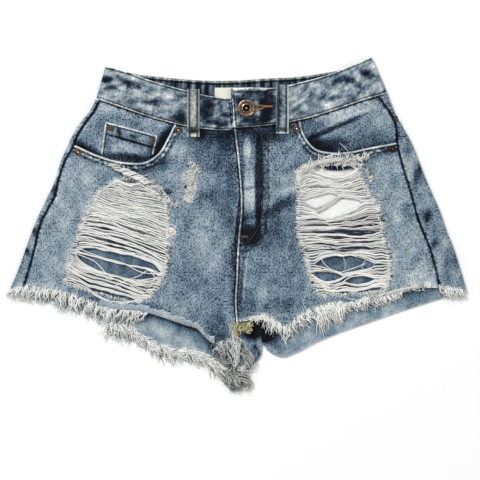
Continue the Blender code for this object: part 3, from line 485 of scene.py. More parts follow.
def denimFinish(name, base, inner, clouds=0.07, patches=0.1, specks=0.2, streaks=0.0, marble=0.0,
                gather=1.3, edge=turnedEdge, tones=denimTones):
    f = Finish(name, Roughness=0.88, Sheen_Weight=0.02, Sheen_Roughness=0.6, Specular_IOR_Level=0.12)
    place, yarn, turned, rim = f.place(), f.fabric(), f.mark("turned"), f.mark("rim")
    shade = f.mark("inner").fade(0.2, 0.8, base, inner) + f.mark("tone")
    shade = shade + f.noise(place, weave["cloud"], 3) * (2.6 * clouds)
    shade = shade + f.noise(place, weave["patch"], 3) * (2.6 * patches)
    grain = f.noise(yarn, weave["grain"], 2, 0.6)
    fleck = f.noise(yarn, weave["fleck"], 1)
    calm = f.mark("inner").fade(0.2, 0.8, 1.0, 0.55)
    calm = calm * turned.least(rim).fade(1.6, 2.8, 0.3, 1.0)
    # dark specks stand out more than pale ones
    calm = calm * shade.fade(0.42, 0.66, 1.0, 0.72)
    shade = shade + (grain * (3.7 * specks) + fleck * (6.6 * specks)).least(0.45 * specks) * calm
    if streaks:
        lines = f.noise(yarn, weave["streak"], 2) * f.mark("inner").fade(0.2, 0.8, 0.2, 1.0)
        shade = shade + lines * streaks
    if marble:
        turn = (0, 0, weave["veinTurn"])
        tilted = f.node("ShaderNodeMapping", None, {"Vector": yarn, "Rotation": turn})
        veins = f.noise(tilted, weave["vein"], 4, 0.6) * f.mark("inner").fade(0.2, 0.8, 1.0, 0.0)
        shade = shade + veins * marble
    # the pucker noise added to the colour along stitched edges, rims and seams is painted light and shade of
    # the puckers
    pucker = f.noise(place, weave["pucker"], 1)
    sewn = turned.fade(0.9, 2.6) * turned.fade(10.5, 7.5)
    shade = shade + f.profile(turned, edge) + pucker * sewn * gather
    shade = shade + f.profile(rim, paleRim) + pucker * rim.fade(4.5, 2.2) * 0.8
    plain = f.mark("plain") + f.noise(place, 6, 1) * 0.8
    shade = shade + f.profile(plain, plainSeam) + pucker * plain.fade(6, 1) * 0.8
    raw = f.mark("raw") + f.noise(place, 5, 2) * 9
    shade = shade + f.profile(raw, rawEdge)
    f.feed("Base Color", f.ramp(tones, shade))
    # right-hand twill: fine ribs that climb across the warp, on warp yarns
    climb = f.part(yarn, "X") * 1.7 - f.part(yarn, "Y")
    rib = (climb * wavesOf(weave["ribPitch"]) + grain * 9).sine()
    f.bump(rib * 0.12 + grain * 1.8 + fleck + pucker * turned.fade(9, 2) * 2, weave["depth"])
    return f.data


def threadFinish(name, rough, twist, stops, colours):
    # the shade of each thread is an attribute of its points
    f = Finish(name, Roughness=rough, Sheen_Weight=0.15, Sheen_Roughness=0.5, Specular_IOR_Level=0.2)
    shade = f.mark("shade") + f.noise(f.place(), 1.6, 2) * 0.5
    f.feed("Base Color", f.ramp(tonesOf(stops, colours), shade))
    if twist:
        turn = f.fabric()
        around, along = f.part(turn, "X") * (2 * math.pi), f.part(turn, "Y") * wavesOf(twist)
        f.bump((around * 2 + along).sine(), weave["threadDepth"])
    return f.data


def cottonFinish(name, colour, warmColour):
    f = Finish(name, Roughness=0.9, Sheen_Weight=0.1, Specular_IOR_Level=0.2)
    place = f.place()
    x, y = [f.part(place, axis) * wavesOf(weave["cottonPitch"]) for axis in "XY"]
    dirt = f.noise(place, 22, 3) * 1.6 + 0.5
    f.feed("Base Color", f.ramp(tonesOf((0.2, 0.8), (colour, warmColour)), dirt))
    f.bump(x.sine() * y.sine() + f.noise(place, 2.5, 2) * 2, weave["cottonDepth"])
    return f.data


def metalFinish(name):
    f = Finish(name, Metallic=0.85)
    place = f.place()
    # the shade attribute holds the metal's wear and, on the button, the painted shade of its sunk ring
    wearAndShade = f.noise(place, 2.2, 4, 0.7) * 1.5 + f.mark("shade")
    tones = tonesOf((0, 0.1, 0.38, 0.62, 0.9),
                    ((10, 8, 8), (30, 24, 22), (74, 58, 49), (130, 101, 84), (222, 200, 180)))
    f.feed("Base Color", f.ramp(tones, wearAndShade))
    f.feed("Roughness", wearAndShade.fade(0.1, 0.9, 0.55, 0.3))
    f.bump(f.noise(place, 0.8, 2), 0.1)
    return f.data


threadLooks = {              # name, roughness, pitch of the twist, places of the colours, colours
    "weft": ("weftThreads", 0.9, 1.7, (0, 0.14, 0.32, 0.6, 1),
             ((30, 38, 54), (84, 94, 106), (163, 166, 166), (220, 220, 215), (248, 247, 243))),
    "fray": ("frayedThreads", 0.9, 1.7, (0, 0.25, 0.5, 0.85),
             ((38, 50, 70), (120, 132, 145), (208, 212, 209), (246, 247, 242))),
    "matted": ("mattedThreads", 0.9, 1.7, (0, 0.25, 0.5, 0.9),
               ((40, 46, 52), (98, 105, 106), (158, 163, 160), (216, 219, 213))),
    "khaki": ("khakiStitches", 0.7, 0, (0, 0.45, 1), ((22, 24, 26), (72, 71, 58), (128, 124, 98))),
    "olive": ("oliveKnot", 0.8, 0, (0, 0.45, 1), ((58, 58, 44), (142, 138, 106), (218, 211, 172))),
    "ochre": ("ochreStitches", 0.7, 0, (0, 0.5, 1), ((92, 64, 30), (166, 120, 62), (214, 172, 110))),
}
finishes = {
    "panel": denimFinish("denimPanel", 0.5, 0.52, clouds=0.14, patches=0.16, specks=0.22),
    "band": denimFinish("denimBand", 0.55, 0.34, clouds=0.14, patches=0.2, specks=0.12, streaks=2.0,
                        marble=1.25, tones=bandTones),
    "lining": denimFinish("denimInside", 0.6, 0.55, specks=0.12),
    "strap": denimFinish("denimStrap", 0.47, 0.5, clouds=0.03, patches=0.04, specks=0.06, gather=0.5,
                         edge=strapEdge, tones=strapTones),
    "strapBlue": denimFinish("denimStrapBlue", 0.45, 0.5, clouds=0.05, patches=0.2, specks=0.08,
                             gather=0.6, edge=strapEdge, tones=bandTones),
    "cotton": cottonFinish("whiteCotton", (244, 245, 244), (255, 255, 253)),
    "cream": cottonFinish("creamLabel", (222, 226, 208), (238, 240, 226)),
    "copper": metalFinish("agedCopper"),
    **{key: threadFinish(*look) for key, look in threadLooks.items()},
}
# meshes
def clothName(*words):
    return words[0] + "".join(word.capitalize() for word in words[1:]) + "Cloth"


def makePiece(name, points, faces, finish, nodes, uv, marks, crease):
    points = np.asarray(points, float)
    used, flatFaces = np.unique(np.concatenate([np.ravel(f) for f in faces]), return_inverse=True)
    mesh = bpy.data.meshes.new(name)
    sizes = np.concatenate([np.full(len(f), np.shape(f)[1]) for f in faces])
    mesh.vertices.add(len(used))
    mesh.vertices.foreach_set("co", ((points[used] + planMove) * mm).astype(np.float32).ravel())
    mesh.loops.add(len(flatFaces))
    mesh.loops.foreach_set("vertex_index", flatFaces.astype(np.int32))
    mesh.polygons.add(len(sizes))
    starts = np.concatenate([[0], np.cumsum(sizes)[:-1]])
    mesh.polygons.foreach_set("loop_start", starts.astype(np.int32))
    mesh.polygons.foreach_set("use_smooth", np.ones(len(sizes), bool))
    mesh.update(calc_edges=True)
    mesh.uv_layers.new(name="fabric").data.foreach_set(
        "uv", (np.asarray(uv)[used][flatFaces] * mm).astype(np.float32).ravel())
    for key, values in marks.items():
        held = mesh.attributes.new(key, "FLOAT", "POINT")
        held.data.foreach_set("value", np.asarray(values, float)[used].astype(np.float32))
    mesh.validate()
    if crease:
        mesh.set_sharp_from_angle(angle=math.radians(crease))
    mesh.materials.append(finishes[finish])
    piece = bpy.data.objects.new(name, mesh)
    bpy.context.collection.objects.link(piece)
    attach(piece, "root")
    if nodes:
        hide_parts(*nodes)
    return piece


def rounded(grid, full, reach=1.1):
    # thickness that falls off round the rim of a grid
    least = 0.3

    def depth(axis):
        steps = np.linalg.norm(np.diff(grid, axis=axis), axis=2)
        start = np.concatenate([np.zeros_like(steps.take([0], axis)), np.cumsum(steps, axis)], axis)
        return np.minimum(start, start.take([-1], axis) - start)
    d = np.clip(np.minimum(depth(0), depth(1)) / reach, 0, 1)
    return full * np.maximum(np.sqrt(1 - (1 - d) ** 2), least)


cutList = []
sheetLimits = {"length": 0.0105, "area": 0.31}    # least length in metres, least share of the rectangle


def shell(name, middle, thickness, outward, finish, node, slot="denim", keep=None, marks=None, flat=False,
          held="laid", on=("back_left", "back_right"), fabric=None):
    # closed cloth round a grid of middle points; the side that faces out takes the outer finish
    rows, columns = middle.shape[0] - 1, middle.shape[1] - 1
    keep = np.ones((rows, columns), bool) if keep is None else keep
    if flat:
        normal = np.broadcast_to(np.array([0.0, 0.0, 1.0]), middle.shape)
    else:
        normal = unit(np.cross(np.gradient(middle, axis=1), np.gradient(middle, axis=0)) * outward)
    half = normal * (np.broadcast_to(thickness, middle.shape[:2]) / 2)[..., None]
    points = np.concatenate([(middle + half).reshape(-1, 3), (middle - half).reshape(-1, 3)])
    count = middle.shape[0] * middle.shape[1]
    index = np.arange(count).reshape(middle.shape[:2])
    corner = [index[:-1, :-1], index[1:, :-1], index[1:, 1:], index[:-1, 1:]]
    ring = np.stack([c[keep] for c in corner], 1)
    faces = [ring, ring[:, ::-1] + count]
    around = np.pad(keep, 1)
    for a, b, di, dj in ((0, 1, 0, -1), (1, 2, 1, 0), (2, 3, 0, 1), (3, 0, -1, 0)):
        edge = keep & ~around[1 + di:rows + 1 + di, 1 + dj:columns + 1 + dj]
        p, q = corner[a][edge], corner[b][edge]
        faces.append(np.stack([p, p + count, q + count, q], 1))
    faces = np.concatenate(faces)
    if outward > 0:
        faces = faces[:, ::-1]
    run = np.diff(middle, axis=1)
    unrolled = np.concatenate([middle[:, :1, 0], middle[:, :1, 0] + np.cumsum(
        np.hypot(run[..., 0], run[..., 2]), axis=1)], axis=1)
    uv = (np.stack([unrolled, middle[..., 1]], axis=-1) if fabric is None else fabric).reshape(-1, 2)
    full = {key: np.full(count, far) for key in ("turned", "plain", "rim", "raw")}
    full["tone"] = np.zeros(count)
    full.update({key: np.ravel(values) for key, values in (marks or {}).items()})
    full = {key: np.concatenate([values, values]) for key, values in full.items()}
    full["inner"] = np.repeat([0.0, 1.0], count)
    makeSheet(makePiece(name, points, [faces], finish, [node], np.concatenate([uv, uv]), full, 50),
              name, middle, run, keep)


def makeSheet(piece, name, middle, run, keep):
    # tells how wide and long the cloth of a piece would lie flat, and its area
    cell = np.linalg.norm(np.cross(middle[1:, 1:] - middle[:-1, :-1],
                                   middle[1:, :-1] - middle[:-1, 1:]), axis=2)
    wide = np.linalg.norm(run, axis=2).sum(1).max() * mm
    long = np.linalg.norm(np.diff(middle, axis=0), axis=2).sum(0).max() * mm
    long = max(long, sheetLimits["length"])
    area = min((cell * keep).sum() / 2 * mm * mm, wide * long)
    least = sheetLimits["area"] * wide * long
    cutList.append((name, round(wide / mm), round(long / mm), round(area, 4)))


def lift(plan, height):
    return np.concatenate([plan, height(plan[..., 0], plan[..., 1])[..., None]], axis=-1)


def layer(name, plan, height, thickness, finish, node, rounds=False, **facts):
    full = rounded(plan, thickness) if rounds else thickness
    middle = lift(plan, height) + [0, 0, thickness / 2]
    shell(name, middle, full, -1, finish, node, flat=True, **facts)


def tubes(name, paths, widths, finish, shade, sides, nodes=()):
    # closed threads along many paths of the same number of points; widths are the threads' radii
    paths = np.asarray(paths)
    count, steps = paths.shape[:2]
    run = np.gradient(paths, axis=1)
    run /= np.maximum(np.linalg.norm(run, axis=2, keepdims=True), 1e-9)
    side = np.cross(run, [0.013, 0.021, 1.0])
    side /= np.maximum(np.linalg.norm(side, axis=2, keepdims=True), 1e-9)
    up = np.cross(side, run)
    angles = np.arange(sides) * 2 * math.pi / sides
    spokes = (side[:, :, None] * np.cos(angles)[:, None] + up[:, :, None] * np.sin(angles)[:, None])
    widths = np.broadcast_to(widths, (count, steps))
    points = paths[:, :, None] + spokes * widths[:, :, None, None]
    index = np.arange(count * steps * sides).reshape(count, steps, sides)
    after = np.roll(index, -1, axis=2)
    walls = np.stack([index[:, :-1], after[:, :-1], after[:, 1:], index[:, 1:]], -1).reshape(-1, 4)
    caps = [index[:, 0, ::-1].reshape(-1, sides), index[:, -1].reshape(-1, sides)]
    along = np.concatenate([np.zeros((count, 1)), np.cumsum(
        np.linalg.norm(np.diff(paths, axis=1), axis=2), axis=1)], axis=1)
    uv = np.stack(np.broadcast_arrays(1000 * np.arange(sides)[None, None] / sides, along[..., None]), -1)
    tint = np.broadcast_to(shade if np.ndim(shade) == 2 else np.reshape(shade, (-1, 1)), (count, steps))
    makePiece(name, points.reshape(-1, 3), [walls, *caps], finish, nodes, uv.reshape(-1, 2),
              {"shade": np.repeat(tint.reshape(-1), sides)}, 0)


# the waistband and the lines that hang from it
def bandRun(table, count, height):
    edges = spline(chordKnots(np.asarray(table)[:, :2]), table)(even(count))
    share = edgeSteps(band["rows"])[:, None, None]
    plan = edges[None, :, :2] * (1 - share) + edges[None, :, 2:] * share
    return lift(plan, above(height, cloth["band"] / 2))


def fold(outer, inward, radius, thickness):
    angles = np.linspace(0, np.pi, 12)[None, :, None]
    radius = np.asarray(radius, float)[:, None, None]
    reach = radius - thickness / 2
    plan = outer[:, None] + inward[:, None] * (radius - reach * np.sin(angles))
    return np.concatenate([plan, radius - reach * np.cos(angles)], axis=-1)


def bandFold(corner, side):
    top, low = np.array(corner[:2], float), np.array(corner[2:], float)
    share = edgeSteps(band["rows"])[:, None]
    down = (low - top) / np.linalg.norm(low - top)
    inward = np.tile(np.array([-down[1], down[0]]) * -side, (len(share), 1))
    radius = np.full(len(share), (levels["band"] + cloth["band"]) / 2)
    return fold(top * (1 - share) + low * share, inward, radius, cloth["band"]), inward[0] * radius[0]


def shiftedStart(table, shift):
    return (tuple(np.asarray(table[0], float) + np.tile(shift, 2)),) + tuple(table[1:])


def bandRuns():
    leftFold, leftIn = bandFold(band["frontLeft"][0], -1)
    rightFold, rightIn = bandFold(band["frontRight"][0], 1)
    back = shiftedStart(shiftedStart(band["back"], leftIn)[::-1], rightIn)[::-1]
    return {"left": bandRun(shiftedStart(band["frontLeft"], leftIn), 170, level(levels["band"])),
            "right": bandRun(shiftedStart(band["frontRight"], rightIn), 160, bandRightUnder),
            "back": bandRun(back, 150, backLift), "leftFold": leftFold, "rightFold": rightFold}


runs = bandRuns()
waistLines = {run: yOverX(runs[run][-1, :, :2]) for run in ("left", "right", "back")}


def waistSeam(run):
    last = band["hiddenEnd"] if run == "left" else np.inf
    return lambda x: waistLines[run](np.minimum(x, last)) - band["seamGap"]


def seamStretch(run, start, end):
    seam = waistSeam(run)

    def at(t):
        x = start + (end - start) * np.asarray(t, float)
        return np.stack([x, seam(x)], axis=-1)
    return at


# a spot of tone: x, y, half width, half height, turn in degrees, how much lighter, how sharp
bandSpots = (
    (-158, 182, 6, 6, 0, 0.18), (-152, 170, 6.5, 4.5, 0, -0.46), (-149, 161, 10, 3, 8, -0.44),
    (-124, 166, 14, 4, -25, -0.3), (-113, 153, 32, 4, -20, 0.1), (-99, 144, 9, 4, -25, -0.3),
    (-114, 143, 7, 4, -25, 0.14), (-88, 142, 10, 6, -15, -0.16), (-67, 127, 10, 7, -10, -0.46),
    (-80, 150, 13, 5, -15, 0.08), (-36, 135, 9, 16, 0, -0.46, 2), (-15, 135, 10, 14, 0, -0.24, 2),
    (-12, 140, 4, 7, -30, 0.2), (-26, 132, 2.6, 9, -35, 0.16), (-22, 121, 14, 4, -5, -0.3, 2),
    (36, 140, 10, 18, 0, -0.5, 2), (20, 154, 14, 3.5, 0, -0.3), (13, 138, 20, 17, 0, -0.16, 3),
    (5, 148, 9, 5, 0, -0.2), (24, 123, 16, 5, 0, -0.42), (3, 124, 5, 6, 0, 0.06),
    (66, 152, 8, 10, 0, 0.08), (90, 157, 11, 5, 10, -0.12), (76, 132, 12, 4, 15, -0.12),
    (118, 168, 10, 4, 20, -0.32), (136, 168, 14, 4, -30, -0.36), (153, 178, 8, 5, -20, -0.38),
    (104, 140, 20, 5, 15, 0.2), (144, 153, 15, 6, 20, 0.02), (163, 168, 9, 8, 0, 0.02),
    (100, 148, 16, 3, 15, -0.2), (-134, 178, 16, 3, -15, 0.12), (160, 188, 5, 6, 0, 0.14),
    (-152, 152, 16, 3, 10, 0.16),
)


# wash: where the lower edge's pale rim is narrower, x of its middle and half its width
bandRim = {"stitches": 2.6, "drawnIn": 0.22, "ripple": 5, "rippleWidth": 4, "rippleHigh": 0.6,
           "wornEdge": 0.9, "wash": (6, 46)}


def makeBand():
    middle = np.concatenate([runs["left"][:, ::-1], runs["leftFold"][:, ::-1][:, 1:-1], runs["back"],
                             runs["rightFold"][:, 1:-1], runs["right"]], axis=1)
    x, y, z = np.moveaxis(middle, 2, 0)
    onTop = z > levels["band"] - 1
    across = np.linalg.norm(np.diff(middle, axis=0), axis=2)
    fromTop = np.concatenate([np.zeros((1, across.shape[1])), np.cumsum(across, 0)], 0)
    rim = np.minimum(fromTop, fromTop[-1] - fromTop)
    # the edges draw in at their stitches and ripple between them
    along = np.arange(middle.shape[1])[None] * 2.1
    groove = hump(rim - bandRim["stitches"], 1.0) * (0.75 + 0.25 * np.sin(along * 1.9))
    ripple = hump(rim - bandRim["ripple"], bandRim["rippleWidth"]) * 0.18
    ripple = ripple * np.sin(along * 0.9 + 1.5 * np.sin(along * 0.13))
    thickness = rounded(middle, cloth["band"], 1.2) * (1 - bandRim["drawnIn"] * groove + 0.1 * ripple)
    middle = middle + np.stack([0 * z, 0 * z, np.where(onTop, bandRim["rippleHigh"] * ripple, 0)], -1)
    # the wash reads its pale rim from these distances, which are shifted where the rim is narrower
    lapEnd = near(x, y, runs["right"][:, -1, :2])
    worn = np.clip((x - 25) / 15, 0, 1) * bandRim["wornEdge"]
    top = fromTop + np.where(onTop & (x < 60), np.where(x < -8, bandRim["wornEdge"], worn), 0.7)
    top = np.where(onTop & (x > -8) & (x < 36), fromTop * 0.55, top)
    top = np.where(onTop, top, fromTop * 0.7)
    washX, washWide = bandRim["wash"]
    bottom = fromTop[-1] - fromTop + 0.6 + 0.7 * hump(x - washX, washWide, 4)
    marks = {"tone": np.where(onTop, tone(x, y, bandSpots), -0.02),
             "rim": np.minimum(top, np.where(onTop, np.minimum(lapEnd, bottom), far)),
             "plain": np.where(onTop & (x < -4), lapEnd, far)}
    reach = travelled(middle[len(middle) // 2])
    fabric = np.stack(np.broadcast_arrays(reach[None], -fromTop), -1)
    shell("waistbandCloth", middle, thickness, 1, "band", "waistband", marks=marks, held="folded",
          fabric=fabric)


print("waistband")
makeBand()


# yokes and backs, which turn round the sides to the side seams
def inwardOf(line, vs, side):
    return leftOf(line(np.clip(vs + 0.01, 0, 1)) - line(np.clip(vs - 0.01, 0, 1))) * -side


sides = {                    # split: the share of a front's top that the first of its two lines takes
    "left": {
        "side": -1, "fold": curve(body["leftFold"]), "seam": curve(body["leftSeam"]), "split": 0.6,
        "hem": hems["leftBack"], "hemShadow": -0.28, "spots": (
            # painted shade among these spots: the near-black at the crotch, the dark beside the inseam fold
            # and under the hem roll, and the wide darkening seen through the rip
            (-215, 44, 3.6, 10, 20, -0.34), (-237.5, -6, 3, 6, 20, -0.34), (-245, -31, 3, 5, 20, -0.36),
            (-196, 88, 4, 14, 25, 0.16), (-209, 62, 4, 9, 20, 0.14), (-226, 20, 4, 12, 20, 0.12),
            (-256, -62, 6, 8, 20, 0.06), (-27, -158, 40, 5, 5, 0.06), (-6, -146, 12, 8, 0, -0.3),
            (-95, -122, 44, 7, -16, 0.1), (-184, 112, 6, 14, 25, 0.16),
            (20, -121, 11, 14, -38, -0.84, 2), (24, -148, 2.4, 9, 12, -0.3), (6, -136, 6, 6, 0, 0.02),
            (27, -140, 5, 12, 10, 0.02), (-219, 24, 4, 12, 20, -0.1), (-231, -14, 4, 12, 20, -0.2),
            (-20, -142, 12, 8, 0, -0.26), (-140, -40, 56, 52, 0, -0.12, 3), (-74, -130, 40, 8, -20, 0.06))},
    "right": {
        "side": 1, "fold": curve(body["rightFold"]), "seam": curve(body["rightSeam"]), "split": 0.36,
        "hem": hems["rightBack"], "hemShadow": -0.16, "spots": (
            # painted shade among these spots: the near-black and dark at the crotch, and the wide darkening
            # seen through the rip
            (211, 60, 4.5, 13, -20, -0.32), (223, 12, 4.5, 8, -20, -0.34),
            (231, -21, 3.2, 6, -20, -0.34), (238, -42, 6, 10, -20, -0.05), (191, 108, 6, 10, 0, -0.08),
            (198, 88, 5, 5, 0, -0.18), (218, 36, 5, 9, -20, 0.05), (256, -58, 6, 12, -18, 0.12),
            (244, -50, 4, 14, -18, -0.1), (27, -123, 13, 14, 30, -0.8, 2), (36, -128, 9, 9, 0, -0.3),
            (240, -34, 5, 30, -16, 0.12), (200, 62, 7, 30, -20, 0.1), (238, 2, 5, 10, -20, 0.08),
            (130, -40, 48, 46, 0, -0.12, 3), (90, -128, 40, 6, 20, 0.02), (44, -130, 8, 12, 0, -0.16),
            (156, -105, 40, 7, 18, 0.1))},
}


backCut = {"seamX": 2, "flapCrest": 0.35, "bow": 0.5, "bowFrom": -90, "bowOver": 40, "shadow": 5.5}


def backGrid(spec, vs):
    side, foldLine, seamLine = spec["side"], spec["fold"], spec["seam"]

    def foldRadius(outer):
        return (frontUnder(outer[:, 0], outer[:, 1]) + cloth["denim"]) / 2

    def foldIn(t):
        t = np.atleast_1d(np.asarray(t, float))
        outer = foldLine(t)
        return outer + inwardOf(foldLine, t, side) * foldRadius(outer)[:, None]

    outer = foldLine(vs)
    roundFold = fold(outer, inwardOf(foldLine, vs, side), foldRadius(outer), cloth["denim"])
    centre = moved(curve(body["backSeam"]), side * cloth["seam"] / 2)
    cornerTop, cornerHem = foldIn(0.0)[0], foldIn(1.0)[0]
    seam = waistSeam("back")
    waistX = np.linspace(backCut["seamX"] + side * cloth["seam"] / 2, cornerTop[0], 12)
    waist = curve([*[(x, seam(x)) for x in waistX[:-1]], tuple(cornerTop)])
    hemLine = curve([tuple(centre(1.0)), *spec["hem"], tuple(cornerHem)])
    flat = patch(waist, hemLine, centre, foldIn, even(90), vs)
    under = lift(flat, above(backLift, cloth["denim"] / 2))
    inner = foldIn(vs)
    edge = seamLine(vs) + inwardOf(seamLine, vs, -side) * cloth["seam"] / 2
    share = even(13)[None, 1:, None]
    flap = lift(inner[:, None] * (1 - share) + edge[:, None] * share,
                above(frontUnder, cloth["denim"] / 2))
    flap[..., 2] += backCut["flapCrest"] * np.sin(np.pi * np.clip(share[..., 0] * 1.6 - 0.6, 0, 1))
    return np.concatenate([under, roundFold[:, 1:], flap], axis=1)


def makeBack(name, spec):
    backStart = body["yokeEnd"] + cloth["seam"] / 250
    rowsOf = {"yoke": np.linspace(0, body["yokeEnd"], 30),
              "back": np.concatenate([[backStart], np.linspace(body["mouthAt"], 1, 110)])}
    for piece, rows in rowsOf.items():
        grid = backGrid(spec, rows)
        x, y, z = np.moveaxis(grid, 2, 0)
        onTop = z > 4
        # the hem of the under side bows up a little
        bow = np.where(onTop, 0, backCut["bow"] + backCut["bow"] * np.sin(x / 13 + 1.2))
        grid[..., 2] += bow * np.clip((backCut["bowFrom"] - y) / backCut["bowOver"], 0, 1)
        shadow = spec["hemShadow"] * hump(near(x, y, hems[name + "Front"]), backCut["shadow"])
        marks = {"tone": tone(x, y, spec["spots"]) + np.where(onTop, 0, shadow),
                 "plain": np.where(onTop, near(x, y, grid[:, -1, :2]), far)}
        hem = near(x, y, grid[-1, :, :2])
        if piece == "back":
            marks["raw"] = hem + (9 * np.clip((x - 4) / 5, 0, 1) if name == "left" else 5)
        else:
            marks["plain"] = np.minimum(marks["plain"], hem + 0.6)
        shell(clothName(piece, name), grid, cloth["denim"], spec["side"], "panel", f"{piece}_{name}",
              marks=marks, held="folded", on=("back_pocket_" + name,))
        spec[piece] = grid


print("backs")
for sideName, sideSpec in sides.items():
    makeBack(sideName, sideSpec)


backPocket = {"taper": 7, "point": 24}      # how much narrower below, and how high its point is


def makeBackPocket(name):
    x0, y0, x1, y1, _ = zones["backPockets"][name]
    middle, sideEnd, taper = (x0 + x1) / 2, y0 + backPocket["point"], backPocket["taper"]
    low, lowLeft, lowRight = (middle, y0), (x0 + taper, sideEnd), (x1 - taper, sideEnd)
    bottom = joined(polyline([lowLeft, low]), polyline([low, lowRight]), 0.5)
    plan = patch(polyline([(x0, y1), (x1, y1)]), bottom, polyline([(x0, y1), lowLeft]),
                 polyline([(x1, y1), lowRight]), edgeSteps(40), edgeSteps(40))
    x, y = plan[..., 0], plan[..., 1]
    rim = [plan[0], plan[-1], plan[:, 0], plan[:, -1]]
    layer(clothName("backPocket", name), plan, level(0), cloth["under"], "panel", f"back_pocket_{name}",
          True, marks={"turned": near(x, y, *rim)}, on=("the surface below",))


def makeBackLoop(name):
    x0, y0, x1, y1, _ = zones["backLoops"][name]
    plan = rectangle(x0, y0, x1, y1, 12, 36)
    x = plan[..., 0]
    layer(clothName("beltLoopBack", name), plan, level(0), cloth["under"], "strap",
          f"belt_loop_back_{name}", True, marks={"turned": np.minimum(x - x0, x1 - x)},
          on=("the surface below",))


for sideName in zones["backPockets"]:
    makeBackPocket(sideName)
for loopName in zones["backLoops"]:
    makeBackLoop(loopName)


# rips: rows of threads from the left rim to the right one, top to bottom
rips = {
    "left": {"rows": (      # share down, left x and y, right x and y, bow
        (0.00, -139, 52, -102, 46, 6), (0.11, -157, 42, -92, 36, 3), (0.22, -167, 27, -84, 22, 0),
        (0.33, -174, 14, -83, 8, -1), (0.44, -180, 0, -84, -9, -1), (0.55, -184, -12, -82, -26, -1),
        (0.66, -186, -27, -85, -49, -1), (0.77, -190, -35, -92, -64, -1),
        (0.88, -195, -49, -103, -79, -1), (1.00, -199, -66, -114, -90, -1)),
        "gaps": ((0.00, 0.10, 0.60, 7), (0.52, 0.10, 0.95, 2.5), (0.685, 0.02, 0.98, 13),
                 (0.735, 0.0, 0.95, 18), (0.97, 0.30, 0.90, 9))},   # share down, from, to, height
    "right": {"rows": (
        (0.00, 79.5, 64, 140, 69, 5), (0.10, 73, 52.5, 145, 54, 2), (0.20, 73.5, 40, 153, 38.5, -1),
        (0.30, 73.5, 24.5, 162.5, 25.5, -2), (0.40, 72.5, 9.5, 167, 11.5, -2),
        (0.50, 73.5, -4.5, 168.5, -3.5, -1), (0.60, 76, -18.5, 171, -18.5, -1),
        (0.70, 82, -33, 175.5, -34, 0), (0.80, 85, -48, 176.5, -48, -3),
        (0.90, 89, -63, 176.5, -62, -2), (1.00, 97, -79, 173, -74.5, -1)),
        "gaps": ((0.00, 0.20, 0.96, 26), (0.24, 0.06, 0.52, 15), (0.31, 0.22, 0.84, 19),
                 (0.50, 0.35, 0.95, 8), (0.765, 0.08, 0.84, 20), (0.85, 0.02, 0.42, 13),
                 (0.90, 0.42, 0.82, 11), (0.98, 0.20, 0.96, 10))},
}
ripPitch, ripSpread = 4.2, 14.7


def ripPoints(rows, us, vs):
    found = spline([row[0] for row in rows], [row[1:] for row in rows])(np.asarray(vs, float))
    u = np.asarray(us, float)[None, :, None]
    left, right, bow = found[:, None, 0:2], found[:, None, 2:4], found[:, None, 4:5]
    plan = left * (1 - u) + right * u
    plan[..., 1:2] += bow * 4 * u * (1 - u)
    return plan


def ripRing(rows):
    # ragged rim of a rip
    us, vs = even(40), even(70)
    plan = ripPoints(rows, us, vs)
    ring = np.concatenate([plan[:, 0], plan[-1, 1:], plan[-2::-1, -1], plan[0, -2:0:-1]])
    run = np.roll(ring, -1, axis=0) - np.roll(ring, 1, axis=0)
    k = np.arange(len(ring))
    uneven = 0.5 * np.sin(k * 1.7) + 0.7 * np.sin(k * 0.61 + 1) + 0.4 * np.sin(k * 2.9)
    return ring - leftOf(run) * uneven[:, None] * 0.8


